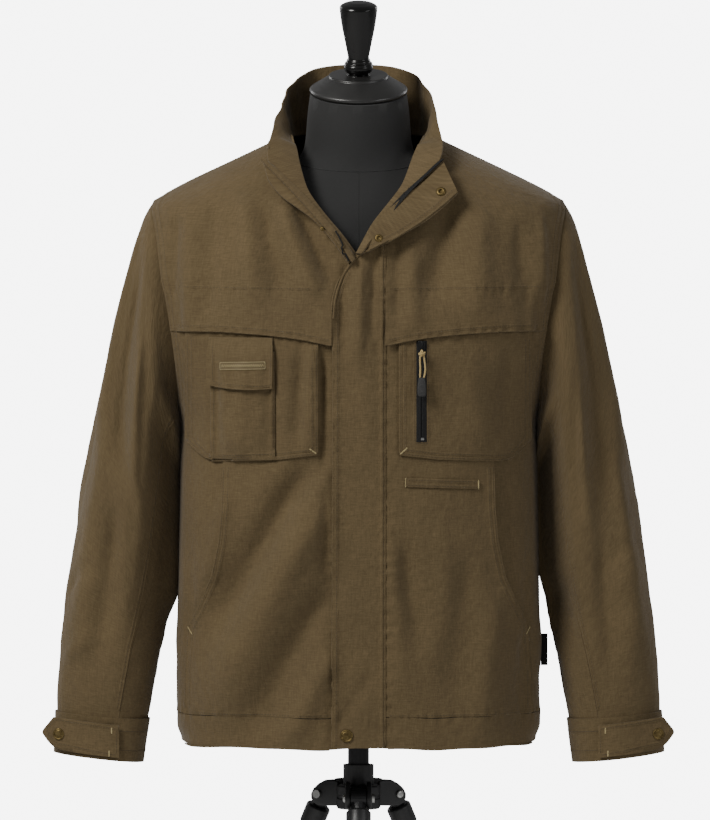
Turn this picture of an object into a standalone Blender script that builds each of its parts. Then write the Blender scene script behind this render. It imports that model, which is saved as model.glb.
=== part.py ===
"""A work jacket worn open at the neck by a limbless dress form, which stands on a tripod.

Metres, +Z up, the front of the jacket towards -Y. The wearer's right side is at -X. The origin is on the
floor, under the middle of the box. Everything is modelled round the column's axis and hangs from one empty.
"""

import math

import bmesh
import bpy
import numpy as np
from mathutils import Matrix, Vector

COLLECTION = "work_jacket_on_stand"

# ---------------------------------------------------------------- driving sizes
HEM_Z = 0.770  # lower edge of the jacket above the floor
HEM_BAND = 0.0365  # depth of the band round the hem
YOKE_SEAM_Z = 1.302
UNDERARM_Z = 1.150
SHOULDER_Z = 1.406
ARMHOLE_DEPTH = 0.064  # half the armhole, front to back
CLOTH = 0.0015  # one layer of canvas with its lining
DOUBLE = 0.0020  # a doubled edge, such as the hem band or the placket
SEAM = 0.00035  # what two pieces leave open between them at a seam
ROUNDNESS = 2.4  # exponent of the rings: 2 is an ellipse, more is squarer
PLACKET_LEFT = 0.0311  # its sewn edge, on the wearer's left
PLACKET_UNDER = 0.008  # how far the right front runs on under the placket
YOKE_HEM_Z = 1.255  # the yoke's free edge beside the armhole
OPENING_Z = 1.343  # where the open front begins to part
PATCH_TOP_Z = 1.263  # the chest pockets' upper edge, under the yoke
SLIDER_X, SLIDER_Z = 0.0730, 1.2385  # the chest zip's slider
LEG_ANGLE = math.radians(25)
PIVOT_RADIUS = 0.047  # leg hinges from the column's axis
PIVOT_Z = 0.706
COLUMN_RADIUS = 0.0125
FOOT_RADIUS = 0.017
FOOT_HEIGHT = 0.030
FOOT_REACH = PIVOT_RADIUS + (PIVOT_Z - FOOT_HEIGHT / 2) * math.tan(LEG_ANGLE)
AXIS_Y = (FOOT_REACH - FOOT_REACH / 2) / 2  # the front foot reaches twice as far as the rear ones

# ---------------------------------------------------------------- tables
# The jacket's body, a ring a row. Between underarm and shoulder, half_width is where the sleeve is sewn on.
TORSO_COLUMNS = ("height", "half_width", "front", "back")
TORSO = np.array(
    [
        (0.770, 0.2135, 0.1250, 0.112),
        (0.810, 0.2145, 0.1260, 0.110),
        (0.950, 0.2125, 0.1300, 0.104),
        (1.060, 0.2110, 0.1320, 0.104),
        (1.150, 0.2105, 0.1340, 0.112),
        (1.215, 0.2140, 0.1350, 0.118),
        (1.260, 0.2200, 0.1350, 0.120),
        (1.328, 0.2320, 0.1290, 0.119),
        (1.380, 0.2385, 0.1150, 0.111),
        (1.406, 0.2405, 0.1040, 0.105),
        (1.425, 0.2070, 0.0940, 0.099),
        (1.440, 0.1750, 0.0845, 0.094),
        (1.455, 0.1430, 0.0740, 0.089),
        (1.472, 0.1070, 0.0610, 0.084),
        (1.486, 0.0780, 0.0520, 0.080),
        (1.500, 0.0560, 0.0450, 0.076),
    ]
)
# Where the open front turns back, right and left of the middle.
OPENING_COLUMNS = ("height", "right", "left")
OPENING = np.array(
    [
        (1.343, 0.0030, -0.0020),
        (1.357, 0.0125, 0.0053),
        (1.366, 0.0193, 0.0100),
        (1.378, 0.0300, 0.0164),
        (1.391, 0.0410, 0.0270),
        (1.412, 0.0570, 0.0435),
        (1.4235, 0.0620, 0.0520),
        (1.4416, 0.0670, 0.0585),
        (1.457, 0.0710, 0.0640),
        (1.472, 0.0745, 0.0700),
        (1.483, 0.0770, 0.0760),
    ]
)
# The collar, from the middle of the back to its corner and on down the open front: where it is sewn, and its
# upper edge on the right and on the left. A base under 0 is an angle round the back of the neck, in turns.
COLLAR_COLUMNS = ("base", "right_x", "left_x", "y", "right_z", "left_z")
COLLAR = [
    (-0.500, 0.0000, 0.0000, 0.0880, 1.5670, 1.5670),
    (-0.430, 0.0370, 0.0370, 0.0820, 1.5660, 1.5660),
    (-0.360, 0.0650, 0.0650, 0.0640, 1.5575, 1.5575),
    (-0.290, 0.0820, 0.0810, 0.0340, 1.5420, 1.5420),
    (1.483, 0.0920, 0.0900, -0.0080, 1.5180, 1.5180),
    (1.472, 0.0985, 0.0950, -0.0420, 1.4950, 1.4930),
    (1.457, 0.1050, 0.0985, -0.0700, 1.4720, 1.4720),
    (1.4416, 0.1095, 0.0970, -0.0900, 1.4500, 1.4510),
    (1.4235, 0.0830, 0.0790, -0.1000, 1.4250, 1.4330),
    (1.412, 0.0665, 0.0560, -0.1065, 1.4085, 1.4130),
    (1.391, 0.0470, 0.0335, -0.1190, 1.3860, 1.3880),
    (1.378, 0.0350, 0.0225, -0.1245, 1.3720, 1.3740),
    (1.366, 0.0240, 0.0150, -0.1290, 1.3600, 1.3640),
    (1.343, 0.0075, 0.0030, -0.1350, 1.3370, 1.3440),
]
# Free edges of what is turned back beyond the neck zip: the underlap on the right, the placket on the left.
UNDERLAP_EDGE = [
    (0.1045, -0.1010, 1.4270),
    (0.0880, -0.1070, 1.4080),
    (0.0720, -0.1130, 1.3980),
    (0.0500, -0.1230, 1.3820),
    (0.0385, -0.1270, 1.3690),
    (0.0275, -0.1310, 1.3560),
    (0.0125, -0.1365, 1.3340),
]
LAPEL_EDGE = [
    (0.1150, -0.1060, 1.4150),
    (0.0900, -0.1130, 1.3980),
    (0.0720, -0.1195, 1.3860),
    (0.0500, -0.1270, 1.3740),
    (0.0360, -0.1310, 1.3660),
    (0.0240, -0.1345, 1.3590),
    (0.0080, -0.1375, 1.3480),
]
STRIP_SHARES = (0.04, 0.35, 0.68, 1.0)  # rows of both strips, from the zip to the free edge
UNDERLAP_SNAPS = [("underlap_stud", 2.35, 0.52, 0.0030)]
LAPEL_SNAPS = [("lapel_socket_high", 0.60, 0.66, 0.0056), ("lapel_socket_low", 4.70, 0.52, 0.0046)]
STRIP_SNAP_LIFT = 0.0002
# The sleeve, a ring a row: its outer and inner points seen from the front, and half its depth.
SLEEVE_COLUMNS = ("down", "outer_x", "outer_z", "inner_x", "inner_z", "half_depth", "back")
SLEEVE = np.array(
    [
        (0.00, 0.2405, 1.4060, 0.2105, 1.1500, 0.064, 0.000),
        (0.04, 0.2540, 1.3880, 0.2135, 1.1380, 0.070, 0.000),
        (0.12, 0.2660, 1.3370, 0.2155, 1.1120, 0.076, 0.000),
        (0.24, 0.2850, 1.2660, 0.2155, 1.0800, 0.075, 0.001),
        (0.36, 0.2990, 1.2000, 0.2155, 1.0380, 0.072, 0.001),
        (0.48, 0.3120, 1.1400, 0.2157, 1.0000, 0.068, 0.000),
        (0.60, 0.3260, 1.0700, 0.2168, 0.9550, 0.065, -0.002),
        (0.72, 0.3380, 0.9930, 0.2215, 0.9150, 0.061, -0.005),
        (0.86, 0.3500, 0.9020, 0.2325, 0.8680, 0.055, -0.009),
        (1.00, 0.3563, 0.8080, 0.2445, 0.7990, 0.045, -0.013),
    ]
)
SLEEVE_ROWS = (0.0, 0.04, 0.09, 0.15, 0.21, 0.27, 0.33, 0.39, 0.45)
SLEEVE_ROWS += (0.51, 0.57, 0.63, 0.69, 0.76, 0.84, 0.92, 1.0)
FRONT_SEAM = (142.8, 111.0)  # degrees round the sleeve at the armhole and at the cuff
BACK_SEAM = (235.2, 240.0)
# The form's body, a ring a row.
FORM_COLUMNS = ("height", "half_width", "front", "back")
FORM = [
    (0.800, 0.188, 0.104, 0.090),
    (0.870, 0.188, 0.108, 0.086),
    (0.960, 0.186, 0.112, 0.083),
    (1.060, 0.187, 0.115, 0.084),
    (1.150, 0.188, 0.117, 0.091),
    (1.230, 0.190, 0.118, 0.098),
    (1.310, 0.191, 0.113, 0.099),
    (1.365, 0.190, 0.101, 0.093),
    (1.390, 0.182, 0.090, 0.088),
    (1.408, 0.162, 0.080, 0.084),
    (1.425, 0.128, 0.069, 0.079),
    (1.441, 0.092, 0.0625, 0.072),
    (1.456, 0.069, 0.0605, 0.065),
    (1.472, 0.0620, 0.0600, 0.0615),
    (1.517, 0.0610, 0.0600, 0.0610),
]
CAP_PROFILE = [
    (0.0, 1.5535),
    (0.0345, 1.5535),
    (0.0365, 1.5500),
    (0.0540, 1.5400),
    (0.0575, 1.5370),
    (0.0580, 1.5200),
    (0.0560, 1.5174),
    (0.0, 1.5174),
]
FINIAL_PROFILE = [
    (0.0, 1.6420),
    (0.0150, 1.6410),
    (0.0210, 1.6370),
    (0.0220, 1.6320),
    (0.0200, 1.6180),
    (0.0150, 1.5960),
    (0.0124, 1.5750),
    (0.0150, 1.5710),
    (0.0175, 1.5640),
    (0.0150, 1.5570),
    (0.0110, 1.5540),
    (0.0, 1.5540),
]
SIDE_LEVELS = (0.807, 0.835, 0.870, 0.909, 0.945, 0.985, 1.025, 1.065, 1.100, 1.128)
ARM_LEVELS = (1.150, 1.158, 1.176, 1.205, 1.255, 1.302, 1.345, 1.376, 1.397, 1.406)
SHOULDER_LEVELS = (1.4235, 1.4416, 1.457, 1.472, 1.483)
# The curved mouth of the hand pocket, which runs on as the seam of the side panel.
MOUTH_Z = (0.807, 0.860, 0.909, 0.934, 0.969, 1.010, 1.050, 1.100, 1.302)
MOUTH_X = (0.2050, 0.2040, 0.2000, 0.1870, 0.1715, 0.1630, 0.1595, 0.1580, 0.1580)
# The free lower edge of the yoke.
YOKE_EDGE_X = (0.0310, 0.0700, 0.1190, 0.1670, 0.2150)
YOKE_EDGE_Z = (1.2385, 1.2470, 1.2520, YOKE_HEM_Z, YOKE_HEM_Z)
# The placket's free edge, from the hem up to the opening.
PLACKET_Z = (0.770, 1.060, 1.290, 1.305, 1.315, 1.330, 1.339)
PLACKET_X = (-0.0306, -0.0294, -0.0285, -0.0240, -0.0190, -0.0120, -0.0030)
PLACKET_LEVELS = (0.7705, 0.807, 0.860, 0.920, 0.980, 1.040, 1.100, 1.160, 1.220, 1.262)
PLACKET_LEVELS += PLACKET_Z[2:] + (1.357, 1.372, 1.385)
# The lower edge of the chest pockets, and of the phone pocket's flap.
PATCH_X = (0.0470, 0.0710, 0.0940, 0.1215, 0.1490, 0.1765, 0.2005)
PATCH_EDGE_X = (0.0470, 0.0940, 0.1765, 0.2005)
PATCH_EDGE_Z = (1.1120, 1.1065, 1.1030, 1.1275)
FLAP_EDGE_X = (0.0985, 0.1150, 0.1510, 0.1720)
FLAP_EDGE_Z = (1.1895, 1.1875, 1.1895, 1.1935)

CANVAS = (0.095, 0.068, 0.036)
BRASS = (0.32, 0.22, 0.10)
BLACK = (0.012, 0.012, 0.013)
JERSEY = (0.020, 0.021, 0.024)
CORD = (0.55, 0.40, 0.16)
STEEL = (0.45, 0.45, 0.46)


# ---------------------------------------------------------------- helpers
def smooth(rows, at):
    """The values of a table's row, read at a key from a smooth curve through its rows."""
    keys = rows[:, 0]
    i = int(np.clip(np.searchsorted(keys, at) - 1, 0, len(keys) - 2))
    slopes = np.gradient(rows[:, 1:], keys, axis=0)
    step = keys[i + 1] - keys[i]
    t = np.clip((at - keys[i]) / step, 0.0, 1.0)
    return (
        rows[i, 1:] * (2 * t**3 - 3 * t**2 + 1)
        + slopes[i] * step * (t**3 - 2 * t**2 + t)
        + rows[i + 1, 1:] * (3 * t**2 - 2 * t**3)
        + slopes[i + 1] * step * (t**3 - t**2)
    )


def unit(v):
    return v / max(np.linalg.norm(v), 1e-12)


def power(value, exponent):
    return math.copysign(abs(value) ** exponent, value)


def ring(z):
    """Half width, front depth and back depth of the jacket's body, as if it ran on through the armhole."""
    half, front, back = smooth(TORSO, z)
    if UNDERARM_Z < z < SHOULDER_Z:
        middle, reach = (UNDERARM_Z + SHOULDER_Z) / 2, (SHOULDER_Z - UNDERARM_Z) / 2
        depth = ARMHOLE_DEPTH * math.sqrt(1 - ((z - middle) / reach) ** 2)
        half /= (1 - (depth / front) ** ROUNDNESS) ** (1 / ROUNDNESS)
    return half, front, back


def torso(angle, z):
    """A point of the jacket's outer surface; the angle is 0 at the front and grows to the wearer's left."""
    half, front, back = ring(z)
    s, c = math.sin(angle), math.cos(angle)
    depth = front if c > 0 else back
    return np.array((half * power(s, 2 / ROUNDNESS), -depth * power(c, 2 / ROUNDNESS), z))


def torso_normal(angle, z):
    half, front, back = ring(z)
    above, below = ring(z + 0.002), ring(z - 0.002)
    s, c = math.sin(angle), math.cos(angle)
    at = 0 if c > 0 else 1
    depth = (front, back)[at]
    x, y, _ = torso(angle, z)
    d_half = (above[0] - below[0]) / 0.004
    d_depth = (above[1 + at] - below[1 + at]) / 0.004
    n = ROUNDNESS
    return unit(
        np.array(
            (
                power(x, n - 1) / half**n,
                power(y, n - 1) / depth**n,
                -(s * s) * d_half / half - c * c * d_depth / depth,
            )
        )
    )


def angle_at(x, z):
    """The angle on the front where the body has that x at that height."""
    half = ring(z)[0]
    return math.copysign(math.asin(min(1.0, abs(x) / half) ** (ROUNDNESS / 2)), x)


def armhole_angle(z):
    """The angle on the front where the sleeve is sewn on."""
    if not UNDERARM_Z < z < SHOULDER_Z:
        return math.pi / 2
    return angle_at(smooth(TORSO, z)[0], z)


def new_object(name, mesh, colour, roughness, metallic=0.0):
    obj = bpy.data.objects.new(name, mesh)
    parts.objects.link(obj)
    obj.parent = stand_axis
    material = bpy.data.materials.new(name + "_finish")
    material.use_nodes = True
    shader = material.node_tree.nodes["Principled BSDF"]
    shader.inputs["Base Color"].default_value = (*colour, 1.0)
    shader.inputs["Roughness"].default_value = roughness
    shader.inputs["Metallic"].default_value = metallic
    obj.data.materials.append(material)
    return obj


def close_outward(bm):
    """Turns the faces of a closed mesh to point out of it."""
    bmesh.ops.recalc_face_normals(bm, faces=bm.faces[:])
    if bm.calc_volume(signed=True) < 0:
        bmesh.ops.reverse_faces(bm, faces=bm.faces[:])


def mapped_grid(points, cyclic):
    """An open sheet through rows of points, with the number of its point kept on every vertex."""
    rows, columns = points.shape[:2]
    bm = bmesh.new()
    bmesh.ops.create_grid(bm, x_segments=columns - 1, y_segments=rows - 1, size=0.5)
    spot = bm.verts.layers.int.new("spot")
    for v in bm.verts:
        column = round((v.co.x + 0.5) * (columns - 1))
        row = round((v.co.y + 0.5) * (rows - 1))
        v[spot] = row * columns + column
        v.co = Vector(points[row, column])
    if cyclic:
        bmesh.ops.remove_doubles(bm, verts=bm.verts[:], dist=1e-6)
    return bm, spot


def wall(name, points, normals, thickness, colour=CANVAS, cyclic=False, inset=SEAM / 2, roughness=0.85):
    """A cloth wall: a sheet through the points, thickened inward along the normals it shares at its seams."""
    points, normals = np.array(points, float), np.array(normals, float)
    for rows in (points, points[::-1]):
        rows[0] += inset * unit_rows(rows[1] - rows[0])
    if not cyclic:
        for columns in (points, points[:, ::-1]):
            columns[:, 0] += inset * unit_rows(columns[:, 1] - columns[:, 0])
    bm, spot = mapped_grid(points, cyclic)
    done = bmesh.ops.extrude_face_region(bm, geom=bm.faces[:], use_keep_orig=True)
    flat = normals.reshape(-1, 3)
    for v in done["geom"]:
        if isinstance(v, bmesh.types.BMVert):
            v.co -= Vector(flat[v[spot]] * thickness)
    close_outward(bm)
    mesh = bpy.data.meshes.new(name)
    bm.to_mesh(mesh)
    bm.free()
    mesh.shade_smooth()
    mesh.set_sharp_from_angle(angle=math.radians(50))
    return new_object(name, mesh, colour, roughness)


def unit_rows(v):
    return v / np.maximum(np.linalg.norm(v, axis=-1, keepdims=True), 1e-12)


def panel(name, rows, thickness=CLOTH, colour=CANVAS, roughness=0.85):
    """A piece of the jacket's body. Each row is a list of (angle, height, lift off the surface)."""
    points, normals = [], []
    for row in rows:
        normals.append([torso_normal(angle, z) for angle, z, _ in row])
        points.append([torso(angle, z) + lift * n for (angle, z, lift), n in zip(row, normals[-1])])
    return wall(name, points, normals, thickness, colour, roughness=roughness)


def between(first, last, count):
    return [first + (last - first) * i / count for i in range(count + 1)]


def ribbon_normals(points):
    """Normals of a free ribbon, from how its own points run."""
    points = np.array(points, float)
    along, across = np.gradient(points, axis=1), np.gradient(points, axis=0)
    return unit_rows(np.cross(across, along))


def turned(name, profile, colour, roughness, metallic=0.0, steps=24):
    """A turned piece: its profile, given as (radius, height) from top to bottom of its outer side."""
    mesh = bpy.data.meshes.new(name)
    bm = bmesh.new()
    verts = [bm.verts.new((r, 0.0, z)) for r, z in profile]
    for a, b in zip(verts, verts[1:]):
        bm.edges.new((a, b))
    bm.to_mesh(mesh)
    bm.free()
    obj = new_object(name, mesh, colour, roughness, metallic)
    screw = obj.modifiers.new("Turn", "SCREW")
    screw.steps = steps
    screw.render_steps = steps
    screw.use_merge_vertices = True
    screw.merge_threshold = 0.00005
    screw.use_smooth_shade = True
    return obj


def rod(bm, start, end, radius, segments=16, end_radius=None):
    """A cylinder or cone between two points, added to a mesh."""
    start, end = Vector(start), Vector(end)
    axis = end - start
    turn = axis.to_track_quat("Z", "Y").to_matrix().to_4x4()
    bmesh.ops.create_cone(
        bm,
        cap_ends=True,
        segments=segments,
        radius1=radius,
        radius2=radius if end_radius is None else end_radius,
        depth=axis.length,
        matrix=Matrix.Translation((start + end) / 2) @ turn,
    )


def joined(name, shapes, colour, roughness, metallic=0.0):
    """One body from several closed shapes, each given by a function that adds it to an empty mesh."""
    made = []
    for i, add in enumerate(shapes):
        bm = bmesh.new()
        add(bm)
        mesh = bpy.data.meshes.new(f"{name}_{i}")
        bm.to_mesh(mesh)
        bm.free()
        made.append(mesh)
    obj = new_object(name, made[0], colour, roughness, metallic)
    for i, mesh in enumerate(made[1:], 1):
        other = bpy.data.objects.new(f"{name}_part_{i}", mesh)
        cutters.objects.link(other)
        other.parent = stand_axis
        other.hide_render = True
        other.display_type = "WIRE"
        union = obj.modifiers.new(f"Join_{i}", "BOOLEAN")
        union.operation = "UNION"
        union.solver = "EXACT"
        union.object = other
    return obj


def box(bm, low, high):
    low, high = Vector(low), Vector(high)
    size = high - low
    bmesh.ops.create_cube(
        bm, size=1.0, matrix=Matrix.Translation((low + high) / 2) @ Matrix.Diagonal((*size, 1.0))
    )


def snap(name, point, normal, radius, colour=BRASS):
    """A press stud's cap: a low turned dome with a raised rim, facing along the normal."""
    profile = [
        (0.0, 0.0016),
        (radius * 0.62, 0.0018),
        (radius * 0.78, 0.0025),
        (radius * 0.92, 0.0022),
        (radius, 0.0010),
        (radius * 0.94, 0.0),
        (0.0, 0.0),
    ]
    obj = turned(name, profile, colour, 0.35, 1.0, steps=16)
    obj.location = Vector(point) + Vector(normal) * 0.0005
    obj.rotation_mode = "QUATERNION"
    obj.rotation_quaternion = Vector(normal).to_track_quat("Z", "Y")
    return obj


# ---------------------------------------------------------------- the jacket's body
def back():
    rows = [[(a, z, 0.0) for a in between(math.pi / 2, 3 * math.pi / 2, 16)] for z in SIDE_LEVELS]
    for z in ARM_LEVELS:
        first = math.pi - armhole_angle(z)
        rows.append([(a, z, 0.0) for a in between(first, 2 * math.pi - first, 16)])
    for z in SHOULDER_LEVELS:
        rows.append([(a, z, 0.0) for a in between(math.pi / 2, 3 * math.pi / 2, 16)])
    top = SHOULDER_LEVELS[-1]
    rows[-1] = [(a, top + 0.006 * abs(math.cos(a)), 0.0) for a, _, _ in rows[-1]]
    panel("back", rows)


def mouth_x(z):
    return float(np.interp(z, MOUTH_Z, MOUTH_X))


def front_main(name, side):
    """From the placket to the hand pocket's mouth. The right one runs on under the placket."""
    inner = PLACKET_UNDER if side < 0 else PLACKET_LEFT
    levels = (0.807, 0.830, 0.860, 0.885, 0.909, 0.921, 0.934, 0.951, 0.969, 0.990, 1.010, 1.050, 1.100)
    rows = []
    for z in levels + (1.150, 1.205, 1.255, YOKE_SEAM_Z):
        first, last = angle_at(side * inner, z), angle_at(side * mouth_x(z), z)
        rows.append([(a, z, 0.0) for a in between(first, last, 8)])
    panel(name, rows)


def side_front(name, side):
    """Behind the pocket's mouth, tucked 12 mm under it, to the side seam and the lower armhole."""
    tuck, depth = 0.012, 0.0021
    rows = []
    for z in SIDE_LEVELS + ARM_LEVELS[: ARM_LEVELS.index(YOKE_SEAM_Z) + 1]:
        edge, last = angle_at(side * mouth_x(z), z), side * armhole_angle(z)
        first = angle_at(side * (mouth_x(z) - tuck), z)
        row = [(first, z, -depth), (edge, z, -depth)]
        row += [(a, z, -depth * (1 - i / 4)) for i, a in enumerate(between(edge, last, 4)) if i]
        rows.append(row)
    panel(name, rows)


def placket_edge(z):
    return float(np.interp(z, PLACKET_Z, PLACKET_X))


def yoke_lift(z):
    """The yoke's free edge stands off the pockets under it."""
    return float(np.interp(z, (YOKE_HEM_Z, 1.270, YOKE_SEAM_Z, 1.345), (0.0056, 0.0050, 0.0024, 0.0)))


def yoke_opening(z, side):
    """Where the yoke ends at the front: at the placket, and above it along the opening."""
    if side > 0:
        return smooth(OPENING, z)[1] if z > 1.391 else PLACKET_LEFT
    if z <= YOKE_SEAM_Z:
        return PLACKET_X[0] - 0.0006
    return -smooth(OPENING, z)[0] if z > OPENING_Z else placket_edge(z) - 0.0008


def front_yoke(name, side):
    """Sewn at the shoulder, the neck and the armhole; below its seam it hangs free as a storm flap."""
    rows = []
    for z in (YOKE_HEM_Z, 1.270, YOKE_SEAM_Z, 1.345, 1.376, 1.397, SHOULDER_Z) + SHOULDER_LEVELS:
        first = angle_at(yoke_opening(z, side), z)
        last = side * (armhole_angle(z) if z <= SHOULDER_Z else math.pi / 2)
        fade = max(0.0, 1 - (z - YOKE_HEM_Z) / (YOKE_SEAM_Z - YOKE_HEM_Z))
        row = []
        for a in between(first, last, 9):
            drop = YOKE_HEM_Z - float(np.interp(abs(torso(a, z)[0]), YOKE_EDGE_X, YOKE_EDGE_Z))
            row.append((a, z - drop * fade, yoke_lift(z)))
        rows.append(row)
    panel(name, rows)


def hem_band():
    levels = (HEM_Z, HEM_Z + HEM_BAND / 2, HEM_Z + HEM_BAND)
    rows = [[(a, z, 0.0) for a in between(math.pi / 2, 3 * math.pi / 2, 16)] for z in levels]
    panel("hem_band_back", rows, DOUBLE)
    for name, side, inner in (("hem_band_right", -1, PLACKET_UNDER), ("hem_band_left", 1, PLACKET_LEFT)):
        rows = []
        for z in levels:
            first, last = angle_at(side * inner, z), side * math.pi / 2
            rows.append([(a, z, 0.0) for a in between(first, last, 9)])
        panel(name, rows, DOUBLE)


def placket():
    """The strip over the zip. It narrows at the top, under the turned back lapel."""
    rows = []
    for z in PLACKET_LEVELS:
        left = placket_edge(z) if z <= PLACKET_Z[-1] else smooth(OPENING, z)[1] + 0.0030
        nearer, farther = (left * (1 - share) + PLACKET_LEFT * share for share in (0.35, 0.7))
        xs = (left, max(-0.0060, nearer), max(0.0150, farther), PLACKET_LEFT - 0.0004)
        rows.append([(angle_at(x, z), z, lift) for x, lift in zip(xs, (0.0032, 0.0032, 0.0020, 0.0010))])
    panel("placket", rows, DOUBLE)


# ---------------------------------------------------------------- collar and open front
def collar_sections():
    """The collar's base and edge, from the right front round the neck to the left front."""
    right, left = [], []
    for base, right_x, left_x, y, right_z, left_z in COLLAR:
        for side, x, z, made in ((-1, right_x, right_z, right), (1, left_x, left_z, left)):
            if base < 0:
                angle = side * base * 2 * math.pi
                height = SHOULDER_LEVELS[-1] + 0.006 * abs(math.cos(angle))
                angle = -angle
            else:
                height = base
                angle = side * abs(angle_at(smooth(OPENING, base)[0 if side < 0 else 1], base))
                if base == OPENING[0, 0] and side > 0:
                    angle = -abs(angle)
            lift = 0.0048 if side > 0 and 0 < base <= 1.391 else 0.0010
            seat = torso(angle, height) + lift * torso_normal(angle, height)
            made.append((seat, np.array((side * x, y, z))))
    return right[::-1] + left[1:]


def collar():
    sections = collar_sections()
    rows = []
    for share, bow in ((0.0, 0.0), (0.25, 0.003), (0.5, 0.004), (0.75, 0.002), (1.0, 0.0)):
        row = []
        for seat, edge in sections:
            reach = np.linalg.norm(edge - seat)
            out = unit(np.array((edge[0] + seat[0], edge[1] + seat[1] - 0.02, 0.0)))
            row.append(seat + (edge - seat) * share + out * bow * min(1.0, reach / 0.05))
        rows.append(row)
    normals = ribbon_normals(rows)
    wall("collar", rows, normals, 0.0022, CANVAS, inset=0.0)
    return np.array(rows), normals


def turned_back(name, inner, edge, fasteners):
    """A strip of the open front, from the neck zip's line out to its free edge, with snaps set in it. Each
    snap is (name, station along the strip, share of its width, radius)."""
    rows = np.array([inner + (edge - inner) * share for share in STRIP_SHARES])
    normals = ribbon_normals(rows)
    wall(name, rows, normals, DOUBLE, inset=0.0)
    for snap_name, station, share, radius in fasteners:
        first = int(station)
        row = int(np.searchsorted(STRIP_SHARES, share)) - 1
        u = station - first
        v = (share - STRIP_SHARES[row]) / (STRIP_SHARES[row + 1] - STRIP_SHARES[row])

        def read(grid):
            low = grid[row, first] * (1 - u) + grid[row, first + 1] * u
            return low * (1 - v) + (grid[row + 1, first] * (1 - u) + grid[row + 1, first + 1] * u) * v

        out = unit(read(normals))
        snap(snap_name, read(rows) + out * STRIP_SNAP_LIFT, out, radius)


def open_front():
    """The underlap on the right and the placket's lapel on the left, with the neck zip's tape behind each."""
    rows, normals = collar()
    for side, name, edge, fasteners, tape_name in (
        (-1, "underlap", UNDERLAP_EDGE, UNDERLAP_SNAPS, "neck_zip_right"),
        (1, "placket_lapel", LAPEL_EDGE, LAPEL_SNAPS, "neck_zip_left"),
    ):
        here = slice(len(edge)) if side < 0 else slice(-len(edge), None)
        inner, middle, out = rows[-1, here], rows[3, here], normals[-1, here]
        free = np.array([(side * x, y, z) for x, y, z in edge[::side]])
        upward = unit_rows(inner - middle)
        turned_back(name, inner + upward * 0.0012, free, fasteners)
        tape = [inner - upward * 0.0035 - out * 0.0030, inner + upward * 0.0035 - out * 0.0036]
        wall(tape_name, tape, ribbon_normals(tape), 0.0010, BLACK, inset=0.0)


# ---------------------------------------------------------------- sleeves and cuffs
def sleeve_point(side, turn, down):
    """A point of the sleeve: turn is in degrees, 0 outside, 90 in front and 180 against the body."""
    outer_x, outer_z, inner_x, inner_z, depth, back = smooth(SLEEVE, down)
    c, s = math.cos(math.radians(turn)), math.sin(math.radians(turn))
    x = (outer_x + inner_x) / 2 + (outer_x - inner_x) / 2 * c
    z = (outer_z + inner_z) / 2 + (outer_z - inner_z) / 2 * c
    return np.array((side * x, back - depth * s, z))


def sleeve_turn(turn, down):
    """The seams wander round the sleeve on their way down."""
    at = [0.0, FRONT_SEAM[0], BACK_SEAM[0], 360.0]
    to = [0.0] + [first + (last - first) * down for first, last in (FRONT_SEAM, BACK_SEAM)] + [360.0]
    return float(np.interp(turn % 360.0, at, to)) if turn % 360.0 else turn


def armhole_turns():
    """The degrees round the armhole at which its levels lie: down the front, then up the back."""
    middle, reach = (UNDERARM_Z + SHOULDER_Z) / 2, (SHOULDER_Z - UNDERARM_Z) / 2
    front = [math.degrees(math.acos(max(-1.0, min(1.0, (z - middle) / reach)))) for z in ARM_LEVELS[::-1]]
    return front + [360.0 - t for t in front[-2::-1]]


def armhole_edge(side, turn):
    """The first points of the sleeve, just off the body's armhole, and the slant of that seam."""
    middle, reach = (UNDERARM_Z + SHOULDER_Z) / 2, (SHOULDER_Z - UNDERARM_Z) / 2

    def on_body(t):
        z = middle + reach * math.cos(math.radians(t))
        a = armhole_angle(z)
        return side * (a if t <= 180.0 else math.pi - a), z

    angle, z = on_body(turn)
    here, out = torso(angle, z), torso_normal(angle, z)
    along = unit(torso(*on_body(min(turn + 2.0, 358.0))) - torso(*on_body(max(turn - 2.0, 2.0))))
    inward = np.cross(out, along)
    if inward @ (np.array((side * 0.228, 0.0, middle)) - here) < 0:
        inward = -inward
    under = float(np.clip((70.0 - abs(turn - 180.0)) / 70.0, 0.0, 1.0))
    slant = unit(out * (1 - under) + np.array((0.0, 0.0, -1.0)) * under)
    return here + 0.0005 * inward + 0.0004 * under * out, slant


def sleeve(name, side, turns):
    points = []
    for down in SLEEVE_ROWS:
        points.append([sleeve_point(side, sleeve_turn(t, down), down) for t in turns])
    points = np.array(points)

    def across(turn, down):
        turn = sleeve_turn(turn, down)
        return sleeve_point(side, turn + 1.0, down) - sleeve_point(side, turn - 1.0, down)

    around = np.array([[across(turn, down) for turn in turns] for down in SLEEVE_ROWS])
    along = np.gradient(points, axis=0)
    normals = unit_rows(np.cross(around, along) * side)
    for i, t in enumerate(turns):
        points[0, i], normals[0, i] = armhole_edge(side, t % 360.0)
    return wall(name, points, normals, CLOTH)


def sleeves(side, hand):
    turns = armhole_turns()
    front = next(i for i, t in enumerate(turns) if abs(t - FRONT_SEAM[0]) < 1.0)
    rear = next(i for i, t in enumerate(turns) if abs(t - BACK_SEAM[0]) < 1.0)
    sleeve(f"sleeve_top_{hand}", side, [t - 360.0 for t in turns[rear:-1]] + turns[: front + 1])
    sleeve(f"sleeve_under_{hand}", side, turns[front : rear + 1])


CUFF_TOP = (0.3570, 0.8075, 0.2445, 0.7983, 0.0445, -0.013)
CUFF_BOTTOM = (0.3590, 0.7597, 0.2515, 0.7472, 0.0440, -0.016)
CUFF_LIFT = 0.0010


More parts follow.
